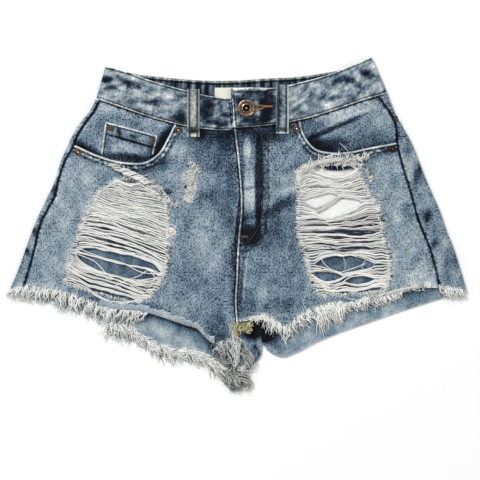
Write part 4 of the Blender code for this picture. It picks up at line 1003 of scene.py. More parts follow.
# fronts
frontSpots = {
    "left": (
        # painted shade among these spots: the dark between the pocket mouth and the torn strip, the shadow
        # under the strip and below its end, the dark hole in the worn spot, and the dark along the fringe's
        # roots
        (-178, 25, 46, 92, 0, 0.13), (-24, 66, 30, 52, 0, -0.14), (-72, 90, 16, 11, -20, 0.18),
        (-4, -60, 5, 48, 0, -0.2), (-5, 34, 8, 50, 0, -0.1), (-134, 62, 26, 6, 0, -0.14),
        (-45, 97, 14, 14, 0, -0.14), (-43, 108, 8, 9, 0, -0.2), (-34, 116, 16, 12, 0, -0.14),
        (-43, -60, 12, 14, 0, -0.12), (-184, -68, 24, 10, -10, -0.08), (-22, -116, 18, 14, -40, -0.14),
        (-48, -88, 30, 14, 0, 0.05), (-12, 100, 12, 16, 0, -0.2), (-34, 20, 12, 30, 0, -0.05),
        (-150, -86, 40, 6, -14, -0.12), (-57, 51, 12, 26, 5, 0.1), (-56, 49, 7, 18, 8, 0.3, 2),
        (-60.5, 45.5, 2.2, 2.8, 20, -0.8, 2), (-20, 0, 14, 40, 0, -0.06), (-100, -96, 22, 6, -10, -0.1),
        (-20, 118, 40, 20, 0, -0.26, 2), (-34, -20, 22, 44, 0, 0.16, 2), (-216, -62, 22, 22, 0, 0.1),
        (-42, 54, 16, 12, 0, 0.2), (-24, 52, 12, 12, 0, 0.1), (-158, 50, 12, 10, 0, -0.12),
        (-90, 71, 14, 8, 20, -0.24), (-118, 57, 34, 6, -28, -0.24, 2), (-20, 122, 36, 10, 0, -0.14, 2),
        (-184, 2, 6, 26, 14, -0.1), (-195, -60, 16, 8, -10, -0.06), (-3, -36, 4, 20, 0, -0.12),
        (-22, -132, 16, 8, -20, -0.24), (-120, -92, 26, 6, -10, -0.14), (-130, 60, 7, 3, -18, -0.24, 3),
        (-81, 40, 5, 4, -30, -0.22, 3), (-152, 47, 6, 2.4, 25, -0.2, 3), (0.2, 2, 1.7, 31, -5, -0.36, 4)),
    "right": (
        # painted light and shade among these spots: the dark and pale bands of the crease beside the fly,
        # and the shadow under the torn band over the rip
        (197, -5, 26, 92, -12, 0.1), (18, -23, 9, 7, 30, -0.12), (54, 25, 22, 6, 27, -0.26),
        (56, 41, 18, 5, 27, 0.16), (48, 90, 14, 20, 0, -0.08), (40, 104, 9, 8, 0, -0.14),
        (60, -38, 34, 34, 0, -0.05), (12, -88, 8, 24, 10, -0.12), (29, -82, 5, 24, -10, 0.12),
        (175, 72, 18, 9, 10, 0.1), (58, 66, 12, 24, 0, 0.06), (50, -8, 22, 12, 0, 0.05),
        (6.2, 52, 2.4, 56, 0, -0.12, 2), (3, 72, 3, 14, 0, 0.14), (14.2, 42, 6.7, 32, 0, 0.2, 6),
        (11.6, 88, 4.6, 17, -3, 0.2, 5), (14, 5, 5.4, 3, 12, 0.2, 3), (3.8, 12, 1.0, 31, -4, 0.3, 4),
        (25.5, 50, 5.0, 60, 0, -0.42, 4), (32.6, 52, 4, 56, 0, -0.2, 3), (29.6, 30, 0.8, 34, 0, 0.12, 4),
        (36.4, 10, 0.8, 14, 0, 0.16, 4), (15, -12, 14, 12, -20, -0.38, 2), (14, 44, 6, 2.4, 20, -0.26),
        (13, 112, 10, 5, 0, -0.14), (186, 20, 10, 26, 0, 0.05), (150, -86, 40, 5, 8, -0.06),
        (12, 14, 6, 10, 0, -0.12), (26, 112, 44, 16, 0, -0.3, 2), (30, -4, 26, 22, 0, -0.2, 2),
        (54, -4, 26, 30, 0, -0.1), (167, 52, 10, 20, 0, 0.16), (202, 16, 10, 16, 0, -0.16),
        (214, -62, 16, 20, -16, 0.18), (112, 74, 42, 6, 6, -0.26, 2), (50, -92, 34, 10, 8, -0.16),
        (48, 118, 22, 8, 0, -0.2), (8, -26, 6, 12, 0, -0.2), (4, 10, 4, 24, 0, -0.26),
        (2, -76, 4, 44, 0, -0.12), (9.8, -60, 0.9, 34, -5.3, 0.2, 4), (6, -58, 1.4, 36, -4, -0.14, 3),
        (74, 104, 5, 9, 0, 0.2), (180, 90, 14, 10, 0, -0.1)),
}


def flyLine(run, clearance):
    top = (body["flyX"], float(waistSeam(run)(body["flyX"])))
    return moved(curve((top, *body["flyEdge"])), clearance)


def frontPlan(name):
    # the mouth and the side come first on the left front and last on the right one
    spec = sides[name]
    side, seam, split = spec["side"], spec["seam"], spec["split"]
    gap = side * cloth["seam"] / 2
    topX = body[name + "MouthTop"]
    mouthEnds = tuple(seam(body["mouthAt"]) - [gap, 0]), (topX, waistSeam(name)(topX))
    first, last = mouthEnds[::-side]
    mouth = curve([first, *body[name + "Mouth"], last])
    waist = seamStretch(name, *(topX, body["flyX"] + gap)[::-side])
    edges = moved(partOf(seam, body["mouthAt"], 1.0), -gap), flyLine(name, gap)
    start, end = edges[::-side]
    hem = curve([tuple(start(1.0)), *hems[name + "Front"], tuple(end(1.0))])
    steps = splitSteps(split, *(mouthColumns, waistColumns)[::-side])
    return patch(joined(*(mouth, waist)[::-side], split), hem, start, end, steps, even(160)), mouth


mouthColumns, waistColumns = 88, 62
jStitch = {"outer": ((36.3, 113), (36.9, 60), (36.9, 24.6), (35.1, 5.9), (28.7, -12.9), (15.9, -26.9),
                     (3, -33)),
           "inner": ((29.3, 113), (29.8, 60), (29.8, 24.6), (28, 8), (22.2, -7), (12.5, -18), (4, -22))}
puffAt, puffWidth, puffHigh = 4.6, 2.4, 0.4    # the swell beside a turned edge, from the hem inside it
ragged = {"within": 0.8, "rim": 0.6, "own": 0.4}   # how close to a rip's rim points move, and how far


def makeFront(name):
    plan, mouth = plans[name].copy(), mouths[name]
    ring = ripRing(rips[name]["rows"])
    distance = near(plan[..., 0], plan[..., 1], np.vstack([ring, ring[:1]]))
    for i, j in zip(*np.nonzero(distance < ragged["within"])):
        closest = ring[np.argmin(np.hypot(*(ring - plan[i, j]).T))]
        plan[i, j] = closest * ragged["rim"] + plan[i, j] * ragged["own"]
    x, y = plan[..., 0], plan[..., 1]
    centre = (plan[1:, 1:] + plan[:-1, :-1] + plan[1:, :-1] + plan[:-1, 1:]) / 4
    keep = ~inside(centre[..., 0], centre[..., 1], ring)
    seamColumn, flyColumn = (0, -1)[::-sides[name]["side"]]
    waistLine = plan[0, mouthColumns:] if name == "left" else plan[0, :waistColumns + 1]
    fly = near(x, y, plan[:, flyColumn])
    marks = {
        "tone": tone(x, y, frontSpots[name]),
        "turned": near(x, y, mouth(even(60))),
        "plain": np.minimum(near(x, y, plan[:, seamColumn]), near(x, y, waistLine) + 0.2),
        "raw": np.minimum(distance + 0.5, near(x, y, plan[-1]) + 1.5),
    }
    if name == "right":
        rows = [curve(row)(even(40)) for row in jStitch.values()]
        marks["plain"] = np.minimum(marks["plain"], near(x, y, *rows) + 0.8)
        marks["rim"] = fly
    else:
        marks["plain"] = np.minimum(marks["plain"], fly)
    thickness = cloth["denim"] * np.clip(0.45 + marks["turned"] / 1.4, 0.45, 1)
    middle = lift(plan, above(frontUnders[name], cloth["denim"] / 2))
    middle[..., 2] += hump(marks["turned"] - puffAt, puffWidth) * puffHigh
    shell(clothName("front", name), middle, thickness, -1, "panel", f"front_{name}", keep=keep,
          marks=marks, flat=True, on=("backLeftCloth", "backRightCloth"))


print("fronts")
plans, mouths = {}, {}
for sideName in sides:
    plans[sideName], mouths[sideName] = frontPlan(sideName)
for sideName in sides:
    makeFront(sideName)


# pockets
facings = {
    "left": {
        "end": -58, "low": ((-166, 62), (-127, 52), (-98, 55), (-74, 76)), "corner": (-56, 98),
        "spots": (
            # painted shade among these spots: the dark at the corner of the pocket mouth
            (-156, 122, 20, 14, 0, -0.08, 2), (-162, 138, 14, 9, 0, 0.16), (-158, 106, 14, 12, 0, 0.02),
            (-181, 90, 13, 9, -20, -0.26), (-86, 100, 7, 16, -25, -0.45, 2),
            (-100, 119, 22, 7, -18, 0.04), (-98, 88, 12, 8, 30, -0.22), (-170, 80, 12, 8, 0, -0.2),
            (-128, 123, 20, 5, -15, -0.04))},
    "right": {
        "end": 58, "low": ((78, 80), (105, 66), (140, 68), (168, 76)), "corner": (56, 104),
        "spots": (
            # painted light and shade among these spots: the dark fold line with its pale side above, and the
            # dark seen through the slot at the top of the rip
            (132, 134, 36, 9, 15, 0.12), (116, 116, 40, 3.0, 24, -0.38, 2), (126, 125, 34, 4, 22, 0.1),
            (104, 94, 25, 8, 8, -0.36, 2), (90, 102, 9, 8, -30, -0.26), (150, 100, 24, 8, 0, -0.12),
            (172, 106, 10, 12, 0, 0.04), (92, 118, 10, 8, 0, -0.12), (168, 122, 16, 14, 0, 0.1),
            (166, 106, 12, 7, 0, -0.16), (77, 108, 6, 9, 30, 0.24), (113, 69, 24, 4, -4, -0.5, 2),
            (104, 138, 20, 5, 12, 0.1))},
}


def makeFacing(name):
    side, line, spec = sides[name]["side"], sides[name]["seam"], facings[name]
    edge = moved(partOf(line, 0.0, 0.29), -side * 0.6)
    top = seamStretch(name, *(edge(0.0)[0], spec["end"])[::-side])
    ends = tuple(edge(1.0)), spec["corner"]
    first, last = ends[::-side]
    bottom = curve([first, *spec["low"], last])
    inner = curve([tuple(top(1.0 if name == "left" else 0.0)), spec["corner"]])
    plan = patch(top, bottom, *(edge, inner)[::-side], even(90), even(60))
    x, y = plan[..., 0], plan[..., 1]
    shadow = -0.3 * hump(near(x, y, mouths[name](even(60))), 4.5)
    marks = {"tone": tone(x, y, spec["spots"]) + shadow,
             "plain": np.minimum(near(x, y, plan[0]) + 0.3, near(x, y, line(np.linspace(0, 0.4, 30))))}
    layer(clothName("pocketFacing", name), plan, facingUnder, cloth["pocketing"], "panel",
          f"pocket_facing_{name}", marks=marks, on=(clothName("pocketBag", name),))


coin = {
    "top": ((-154, 122), (-124, 114), (-93, 105.5)),
    "bottom": ((-159, 84.5), (-143, 79), (-125, 76.5), (-108, 77.5), (-98, 84)),
    "spots": (
        (-147, 114, 6, 6, -10, 0.06), (-138, 110, 2.4, 6, 10, -0.5), (-130, 110, 4.4, 4, 0, 0.04),
        (-121, 104.5, 4.5, 2.4, -15, -0.4), (-111, 101, 6, 3, -15, 0.12), (-99, 101, 5, 6, 0, -0.2),
        (-125, 99.5, 30, 1.4, -16, -0.7, 2), (-124, 108, 30, 4.4, -15, 0.04, 2),
        (-128, 80.5, 30, 4.4, -4, -0.42, 2), (-150, 96, 4, 10, 0, -0.1), (-132, 91, 16, 6, -10, 0.14),
        (-101, 88, 4, 8, 0, -0.2)),
}


def makeCoinPocket():
    top, bottom = coin["top"], coin["bottom"]
    plan = patch(curve(top), curve(bottom), polyline([top[0], bottom[0]]),
                 polyline([top[-1], bottom[-1]]), edgeSteps(56), edgeSteps(36))
    x, y = plan[..., 0], plan[..., 1]
    rim = near(x, y, plan[0], plan[:, 0], plan[:, -1])
    layer("coinPocketCloth", plan, coinUnder, cloth["pocketing"], "panel", "coin_pocket", True,
          marks={"tone": tone(x, y, coin["spots"]), "rim": rim}, on=("pocketFacingLeftCloth",))


bags = {
    "left": {"top": [(-158, 138), (-100, 124), (-38, 110)], "start": [(-183, 90), (-184, 30)],
             "bottom": [(-168, -10), (-120, -18), (-70, -8)], "end": [(-44, 50)]},
    "right": {"top": [(38, 112), (100, 128), (160, 145)], "start": [(44, 50)],
              "bottom": [(64, -14), (125, -20), (182, -12)], "end": [(182, 90), (190, 30)]},
}


def makeBag(name, lines):
    top, bottom = lines["top"], lines["bottom"]
    plan = patch(curve(top), curve(bottom), curve([top[0], *lines["start"], bottom[0]]),
                 curve([top[-1], *lines["end"], bottom[-1]]), even(60), even(70))

    def height(x, y):
        return levels["bag"] + 0.35 * np.sin(x / 9 + 0.8 * np.sin(y / 14)) * np.sin(y / 17)
    layer(clothName("pocketBag", name), plan, height, cloth["pocketing"], "cotton", f"pocket_bag_{name}",
          slot="cotton")


print("pockets")
for sideName in sides:
    makeFacing(sideName)
    makeBag(sideName, bags[sideName])
makeCoinPocket()


# small cloth pieces
underlap = {"left": -14, "right": 33, "low": -6, "topEnd": 28}
label = (-26, 143, 30, 162)      # x0, y0, x1, y1


def makeUnderlap():
    left, right, low = underlap["left"], underlap["right"], underlap["low"]
    top = seamStretch("left", left, underlap["topEnd"])
    lowLeft, lowRight = (left + 8, low), (right - 8, low + 4)
    plan = patch(top, curve([lowLeft, (12, low - 5), lowRight]),
                 curve([tuple(top(0.0)), (left + 3, 60), lowLeft]),
                 curve([tuple(top(1.0)), (right, 60), lowRight]), even(20), even(50))
    layer("flyUnderlapCloth", plan, above(behindFront, -cloth["denim"]), cloth["denim"], "band",
          "fly_underlap")


def makeLabel():
    wide = label[2] - label[0]
    layer("labelCloth", rectangle(*label, 40, 16), lambda x, y: backLift(x, y) + cloth["band"]
          + cloth["seam"] + 0.1 * np.sin(np.pi * np.clip((x - label[0]) / wide, 0, 1)), cloth["label"],
          "cream", "label", True, slot="cotton", on=("waistbandCloth",))


loopSize = {"width": 14.5, "step": 7}
frontLoops = {
    "left": {"at": (-51, 160, 104), "finish": "strap", "spots": (      # at: x, top, bottom
        (-51, 140, 3.4, 20, 0, 0.1), (-51, 112, 7, 3.6, 0, -0.5), (-51, 106, 6, 1.8, 0, 0.26),
        (-51, 157, 6, 3, 0, -0.05))},
    "right": {"at": (53, 165, 108), "finish": "strapBlue", "spots": (
        (49.6, 146, 3.4, 22, 0, -0.22, 2), (54, 138, 3, 8, 0, -0.12), (53.6, 122, 3, 8, 0, 0.1),
        (59.8, 136, 0.8, 30, 0, 0.34, 4), (47, 128, 1.6, 22, 0, -0.2, 3), (53, 112.6, 7, 2.0, 0, -0.3),
        (53, 108.9, 7, 0.9, 0, 0.42, 4))},
}


def loopHeight(name):
    seam = waistSeam(name)

    def height(x, y):
        onBand = bandUnders[name](x, y) + cloth["band"] + cloth["layer"]
        onPanel = np.minimum(frontUnders[name](x, y) + cloth["denim"] + cloth["layer"], onBand)
        share = ramp(seam(x) + 1 - y, loopSize["step"])
        return onPanel * (1 - share) + onBand * share
    return height


def makeFrontLoop(name, spec):
    x, top, bottom = spec["at"]
    half = loopSize["width"] / 2
    plan = rectangle(x - half, bottom, x + half, top, 18, 70)
    px, py = plan[..., 0], plan[..., 1]
    rim = np.minimum(px - px.min(), px.max() - px)
    crown = 0.45 * hump(rim - puffAt, puffWidth)
    marks = {"tone": tone(px, py, spec["spots"]), "turned": np.minimum(rim * 1.15, far)}
    layer(clothName("beltLoop", name), plan, above(loopHeight(name), crown), cloth["strap"],
          spec["finish"], f"belt_loop_front_{name}", True, marks=marks, on=("waistbandCloth",))


hemRoll = {"columns": slice(48, 128), "wide": 7.5, "high": 2.5}


def makeHemRoll():
    # the raw edge of the left leg, rolled up on itself
    edge = plans["left"][-1, hemRoll["columns"]]
    into = unit(plans["left"][-8, hemRoll["columns"]] - edge)
    shares = np.linspace(0.04, 1, 14)[:, None, None]
    along = np.arange(len(edge))
    wave = 1 + 0.12 * np.sin(along * 0.5) + 0.1 * np.sin(along * 1.3)
    grid = edge[None] + into[None] * hemRoll["wide"] * shares * wave[None, :, None]
    share = shares[..., 0]
    crown = np.sqrt(np.clip(1 - (2 * share - 1.04) ** 2, 0.02, 1))
    crown = crown * (hemRoll["high"] + 0.35 * np.sin(along * 0.9)[None])
    under = lift(grid, above(leftTop, cloth["seam"]))
    under[..., 2] += crown / 2
    flat = np.ones(grid.shape[:2])
    marks = {"tone": 0.06 * flat, "raw": 8 * np.minimum(share, 1.04 - share) * flat * hemRoll["wide"]}
    shell("hemRollCloth", under, crown, -1, "lining", "hem_roll_left", marks=marks, flat=True,
          on=("frontLeftCloth",))


inseam = {
    "top": ((7, -140), (14, -138), (21, -139)), "bottom": ((12, -156), (17, -159), (22, -158)),
    "start": (7, -148), "end": (26, -148), "crown": (14, -148), "high": 1.2, "tone": -0.16,
    # painted shade on the fold's right side and painted light on its left side
    "spots": ((21, -143, 4, 8, 0, -0.16), (10, -148, 3, 8, 20, 0.1), (15, -157, 8, 2, 0, 0.06)),
}


def makeInseamFold():
    top, bottom, (crownX, crownY) = inseam["top"], inseam["bottom"], inseam["crown"]
    plan = patch(curve(top), curve(bottom), curve([top[0], inseam["start"], bottom[0]]),
                 curve([top[-1], inseam["end"], bottom[-1]]), edgeSteps(24), edgeSteps(24))
    x, y = plan[..., 0], plan[..., 1]
    marks = {"tone": inseam["tone"] + tone(x, y, inseam["spots"]),
             "plain": near(x, y, plan[:, -1]) + 0.5}

    def height(x, y):
        crown = np.exp(-((x - crownX) ** 2 + (y - crownY) ** 2) / 60)
        return cloth["denim"] + cloth["seam"] + inseam["high"] * crown
    layer("inseamFoldCloth", plan, height, cloth["denim"], "lining", "inseam_fold", True, marks=marks,
          on=("backLeftCloth",))


print("small pieces")
makeUnderlap()
makeLabel()
for sideName, loopSpec in frontLoops.items():
    makeFrontLoop(sideName, loopSpec)
makeHemRoll()
makeInseamFold()


# threads left across the rips
slits = {                    # narrow partings where the dim layer's painted shade shows: share down, from, to, height
    "left": ((0.36, 0.4, 0.95, 1.4), (0.43, 0.3, 0.95, 2.2), (0.47, 0.0, 0.5, 2.2), (0.50, 0.02, 0.8, 3.0),
             (0.54, 0.3, 1.0, 3.0), (0.58, 0.0, 0.98, 3.2), (0.615, 0.0, 0.9, 2.8),
             (0.82, 0.3, 1.0, 2.2), (0.85, 0.05, 0.9, 3.0), (0.89, 0.1, 0.9, 3.0), (0.93, 0.05, 0.85, 3.0)),
    "right": ((0.17, 0.0, 0.6, 2.2), (0.38, 0.0, 0.45, 3.0), (0.415, 0.3, 0.98, 3.0), (0.45, 0.0, 0.6, 3.4),
              (0.475, 0.45, 1.0, 4.0), (0.51, 0.0, 0.5, 3.6), (0.545, 0.2, 0.9, 4.0), (0.585, 0.4, 1.0, 3.2),
              (0.62, 0.0, 0.6, 3.4), (0.65, 0.35, 1.0, 3.4), (0.69, 0.0, 0.7, 3.0), (0.87, 0.1, 0.7, 3.4),
              (0.93, 0.1, 0.9, 3.4), (0.96, 0.0, 0.6, 2.6)),
}
ripThreads = {
    "left": {"shear": 0.15, "shearRun": 1.4, "ends": 0.9, "step": (1.6, 2.6), "shades": (0.5, 0.9),
             "pale": 0.26, "paleFrom": 0.36, "blunt": 0.5, "dim": 0.0},
    "right": {"shear": -0.05, "shearRun": 1.6, "ends": 3.2, "step": (1.6, 3.0), "shades": (0.4, 0.98),
              "pale": 0.2, "paleFrom": 0.3, "blunt": 0.8, "dim": 0.12},
}
# in the shaded span every layer is darkened by the rip's dim value, painted as the shade between the threads
shadedSpan, slitSpread = (0.4, 0.72), 4.0
coveredGap = 8               # a gap of this height keeps its dim threads


def makeRipThreads(name, spec):
    # a dim thin layer underneath, its dark shades painted as the shade between the threads, then the main
    # threads, and a few strays on top
    rows, height = rips[name]["rows"], frontUnders[name]
    deep = rows[0][2] - rows[-1][2]
    ranks = round(deep / ripPitch)
    partings = [((min(int(gv * ranks), ranks - 1) + 0.5) / ranks, u0, u1, high, True)
                for gv, u0, u1, high in rips[name]["gaps"]]
    partings += [(*slit, False) for slit in slits[name]]
    steps = 40
    paths, shades, widths = [], [], []
    layers = {               # spacing, height, thickness, shades, sway
        "dim": ((1.5, 2.2), 0.1, 0.5, (0.0, 0.12), 0.8),
        "main": (spec["step"], 0.75, 0.42, spec["shades"], 0.6),
        "stray": ((4, 9), 1.5, 0.09, (0.55, 1.0), 1.6)}
    for kind, (spacing, base, thick, tones, sway) in layers.items():
        down = 0.5
        while down < deep - 0.4:
            own = chance.uniform(*spacing)
            v = (down + own / 2) / deep
            down += own
            reach = chance.uniform(0.01, 0.07, 2)
            us = np.linspace(-reach[0], 1 + reach[1], steps)
            shear = spec["shear"] * math.sin(math.pi * min(v * spec["shearRun"], 1))
            vs = np.clip(v + shear * (us - 0.5), 0, 1)
            line = np.stack([ripPoints(rows, [u], [w])[0, 0] for u, w in zip(us, vs)])
            dy = np.zeros(steps)
            inGap = False
            for gv, u0, u1, high, wide in partings:
                if kind == "dim" and (not wide or high == coveredGap):
                    continue
                lens = np.sin(np.pi * np.clip((us - u0) / (u1 - u0), 0, 1)) ** spec["blunt"]
                off = (v - gv) * deep
                spread = ripSpread if wide else slitSpread
                dy -= np.sign(off) * np.exp(-abs(off) / spread) * lens * high / 2
                inGap = inGap or (wide and high > 4 and abs(off) < 2.0)
            if inGap and kind != "main":
                continue
            phase = chance.uniform(0, 6.3, 4)
            wave = (1.2 * np.sin(us * 5 + v * 14) + 0.8 * np.sin(us * 9 - v * 21 + 2)
                    + sway * 0.6 * np.sin(us * chance.uniform(8, 20) + phase[0])
                    + sway * 0.35 * np.sin(us * chance.uniform(25, 50) + phase[1]))
            wave = wave + spec["ends"] * (np.exp(-us * 9) * np.sin(v * 26 + 2)
                                          + np.exp(-(1 - us) * 9) * np.sin(v * 21))
            hold = np.clip(np.minimum(us, 1 - us) * 8 + 0.4, 0.4, 1)
            line[:, 1] += dy + wave * hold
            over = 1 - np.clip(np.minimum(us + 0.01, 1.01 - us) / 0.05, 0, 1)
            z = height(line[:, 0], line[:, 1]) + 0.1 + base + over * (1.5 - 0.6 * base)
            z += 0.3 * np.sin(us * chance.uniform(6, 16) + phase[2])
            paths.append(np.column_stack([line, z]))
            lit = spec["pale"] * ramp(v - spec["paleFrom"], 0.12) if kind == "dim" else 0.0
            if shadedSpan[0] < v < shadedSpan[1]:
                lit = lit - spec["dim"]
            shade = chance.uniform(*tones) + lit
            shades.append(shade + 0.1 * np.sin(us * chance.uniform(4, 12) + phase[3]))
            taper = np.clip(np.minimum(us + reach[0], 1 + reach[1] - us) / 0.03, 0.3, 1)
            widths.append(own * thick * taper)
    tubes(f"ripThreads{name.capitalize()}", paths, np.array(widths), "weft", np.array(shades), 5,
          [f"rip_threads_{name}"])


def strandPath(start, end, curl, sag, steps, turns):
    # one loose strand from start to end, curling as it goes
    s = np.linspace(0, 1, steps)[:, None]
    run = end - start
    length = np.linalg.norm(run[:2]) + 1e-6
    across = np.array([-run[1], run[0], 0]) / length
    phase = chance.uniform(0, 6.3)
    bend = curl * s * np.sin(turns * s * 2 * math.pi + phase)
    rise = sag * np.sin(np.pi * s)
    return start + run * s + across * bend + np.array([0, 0, 1.0]) * rise


# fringe of the raw edges
def stretch(points, start, end):
    return partOf(polyline(points), start, end)


fringeUsual = {"pile": 3.5, "tuft": 5.0, "dense": 1.0, "dim": 0.0, "uneven": 0.12, "under": frontUnder}
leftFlap, rightFlap = sides["left"]["back"][-1, -13:, :2], sides["right"]["back"][-1, -13:, :2][::-1]
fringes = {
    "fringeFrontLeft": {
        "node": "fringe_front_left", "dim": -0.07,
        "edge": polyline(np.vstack([leftFlap, plans["left"][-1, 8:80]])), "tips": (
            (-271, -86), (-254, -89), (-242, -91), (-230, -94), (-219, -97), (-205, -101), (-188, -104),
            (-172, -110), (-154, -118), (-141, -121), (-130, -118), (-121, -110))},
    "fringeFrontRight": {
        "node": "fringe_front_right", "dim": -0.13, "tuft": 10, "dense": 1.05, "uneven": 0.26,
        "edge": stretch(plans["right"][-1], 0.12, 0.84), "tips": (
            (29, -117), (38, -127), (56, -138), (66, -137), (75, -133), (86, -126), (106, -126),
            (117, -120), (130, -113), (139, -106.5), (148, -102), (161, -99.5), (173, -97.5),
            (181, -92.5), (188, -87), (196, -83))},
    "fringeCorner": {
        "node": "fringe_corner_right", "dim": 0.1, "dense": 1.3, "edge": polyline(rightFlap), "tips": (
            (239, -86), (249, -87), (262, -87), (271.5, -86))},
    "fringeBackLeft": {
        "node": "fringe_back_left", "dim": 0.03, "pile": 3.0, "tuft": 6.5, "dense": 1.4, "uneven": 0.18,
        "under": level(cloth["seam"]), "edge": stretch(sides["left"]["back"][-1, :90, :2], 0.12, 0.63),
        "tips": (
            (17, -174), (14, -184), (10, -190), (2, -192), (-9, -189), (-18, -180), (-28, -170),
            (-37, -165), (-46, -158), (-58, -160), (-73, -160), (-88, -153), (-101, -148), (-111, -141),
            (-122, -138), (-137, -137), (-151, -136))},
    "fringeInseam": {
        "node": "fringe_inseam", "dim": 0.24, "pile": 5, "tuft": 3.5, "dense": 1.5,
        "edge": stretch(plans["left"][-1], 0.86, 0.955), "tips": (
            (-24, -154), (-16, -161), (-8, -166), (0, -168), (4, -160))},
}
# the first layer lies low in darker shades, painted as the shade under the upper strands
fringeLayers = (             # spacing, thickness, shades, height, curl, share of the length
    (0.45, (0.24, 0.38), (0.12, 0.5), 0.1, (0.5, 1.6), (0.5, 0.98)),
    (0.72, (0.5, 0.78), (0.55, 1.0), 0.7, (1.0, 2.8), (0.42, 1.05)),
)
fringeRoot = 4.5             # how far into the cloth the strands begin
strandTurns = {"tuft": 12, "own": 16, "most": 26, "fan": 30}     # in degrees


def makeFringe(name, edge, tips, node, under, pile, tuft, dense, dim, uneven):
    tipLine = curve(tips)
    s = even(12)
    length = np.linalg.norm(np.diff(edge(even(200)), axis=0), axis=1).sum()
    tufts = max(int(length / tuft), 3)
    lean, grow, tint = chance.normal(0, 1, (3, tufts))
    paths, widths, shades = [], [], []
    for pitch, thick, tones, height, curls, reaches in fringeLayers:
        for _ in range(int(length / pitch * dense)):
            g = int(chance.integers(tufts))
            t = np.clip((g + 0.5 + chance.normal(0, 0.3)) / tufts, 0, 1)
            root = edge(t)
            reach = tipLine(t) - root
            size = np.linalg.norm(reach)
            away = reach / size
            share = chance.uniform(*reaches) * np.clip(1 + uneven * grow[g], 0.6, 1.12)
            own = np.clip(chance.normal(0, strandTurns["own"]), -strandTurns["most"], strandTurns["most"])
            swerve = strandTurns["tuft"] * lean[g] + own
            turn = math.radians(swerve - strandTurns["fan"] * (t * tufts - g - 0.5))
            heading = np.array([away[0] * math.cos(turn) - away[1] * math.sin(turn),
                                away[0] * math.sin(turn) + away[1] * math.cos(turn)])
            aside = np.array([-heading[1], heading[0]])
            start = root - away * chance.uniform(0, fringeRoot)
            long = size * share + fringeRoot * 0.3
            curl, turns = chance.uniform(*curls), chance.uniform(0.5, 1.7)
            phase = chance.uniform(0, 6.3)
            wind = 2 * math.pi * turns * s + phase
            swing = curl * (np.sin(wind) - math.sin(phase)) * np.minimum(s * 2, 1)
            run = long * s + 0.8 * curl * (np.cos(wind) - math.cos(phase)) * s
            plan = start + heading * run[:, None] + aside * swing[:, None]
            rootZ = float(under(root[0], root[1])) + cloth["denim"] + height * 0.6
            endZ = 0.5 + height * chance.uniform(0.2, 1) * pile
            z = rootZ + (endZ - rootZ) * s ** 1.4 + 0.6 * curl * np.cos(wind) * np.minimum(s * 2, 1)
            z = z + height * pile * 0.3 * np.sin(np.pi * s)
            paths.append(np.column_stack([plan, np.maximum(z, 0.5)]))
            widths.append(chance.uniform(*thick) * np.clip(1.25 - s * 0.8, 0.4, 1))
            base = chance.uniform(*tones) + 0.06 * tint[g] - dim
            shades.append(base - 0.5 * chance.uniform(0, 1) * np.clip(1 - s * 3.2, 0, 1))
    tubes(name, paths, np.array(widths), "fray", np.array(shades), 4, [node])


print("threads")
for sideName, ripSpec in ripThreads.items():
    makeRipThreads(sideName, ripSpec)
for fringeName, fringeSpec in fringes.items():
    makeFringe(fringeName, **{**fringeUsual, **fringeSpec})


# sewing
def stitches(line, height, pitch=3.3, length=2.5, raised=0.3):
    # sunk ends and a raised middle, one short thread after another along a row of points
    line = np.asarray(line, float)
    run = travelled(line)
    starts = np.arange(0.4, run[-1] - length, pitch)
    at = starts[:, None] + np.linspace(0, length, 5)[None]
    x, y = np.interp(at, run, line[:, 0]), np.interp(at, run, line[:, 1])
    return np.stack([x, y, height(x, y) + np.array([-0.35, 0.1, raised, 0.1, -0.35])], -1)


def makeStitches(name, groups, finish, size, sides=5):
    paths = np.concatenate(groups)
    shade = 0.42 + 0.3 * chance.uniform(-1, 1, len(paths))
    tubes(name, paths, size, finish, shade, sides)


def bartack(x, y, long, high, turn, height):
    # dense zigzag that locks a seam
    count = int(long / 0.55)
    c, s = turnOf(turn)
    made = []
    for k in range(count):
        u = (k + 0.5) / count * long - long / 2
        v = np.linspace(-high / 2, high / 2, 5) + 0.15 * np.sin(k)
        px, py = x + u * c - v * s, y + u * s + v * c
        made.append(np.column_stack([px, py, height(px, py) + np.array([-0.2, 0.4, 0.5, 0.4, -0.2])]))
    return np.array(made)


rowInset = {"band": 2.6, "bandEnd": 2.4, "mouth": (2.3, 7.3), "coin": (2.2, 11), "coinSide": 2.2,
            "crotch": (2.2, 7.4), "fly": 2.0, "loop": 4.6}
bandTops = {name: above(under, cloth["band"]) for name, under in bandUnders.items()}
loopTops = {name: above(loopHeight(name), cloth["strap"]) for name in frontLoops}
bartacks = (                 # x, y, length, height, turn in degrees, what it lies on
    (-51, 113, 11, 2.6, 0, loopTops["left"]), (53, 112.5, 11, 2.6, 0, loopTops["right"]),
    (-147.5, 114, 8, 7, -15, coinTop), (-98.5, 99.5, 6, 6, -15, coinTop),
    (8.6, -12.5, 8, 2.6, 0, rightTop), (186.5, 125, 7, 4, -70, leftTop),
)


def puffed(top, points):
    # top of a front beside a turned edge, where the hem inside it puffs the cloth up
    return lambda x, y: top(x, y) + puffHigh * hump(near(x, y, points) - puffAt, puffWidth)


def makeBandStitches():
    rows = []
    for name, top in bandTops.items():
        grid = runs[name][..., :2]
        for row, inner in ((0, 1), (-1, -2)):
            points = grid[row] + unit(grid[inner] - grid[row]) * rowInset["band"]
            if name == "left":
                points = points[points[:, 0] < -8]
            rows.append(stitches(points, top))
    rows.append(stitches(runs["right"][:, -1, :2] + [rowInset["bandEnd"], 0], bandTops["right"]))
    rim = runs["back"][0, 8:-8, :2]
    rows.append(stitches(rim - [0, rowInset["bandEnd"]], backBandTop, 3.0, 2.4, 0.35))
    makeStitches("bandStitches", rows, "khaki", 0.34)
    rimRow = stitches(rim - [0, 0.8], above(backBandTop, -0.4), 2.2, 2.0, 0.35)
    makeStitches("innerRimStitches", [rimRow], "olive", 0.5)


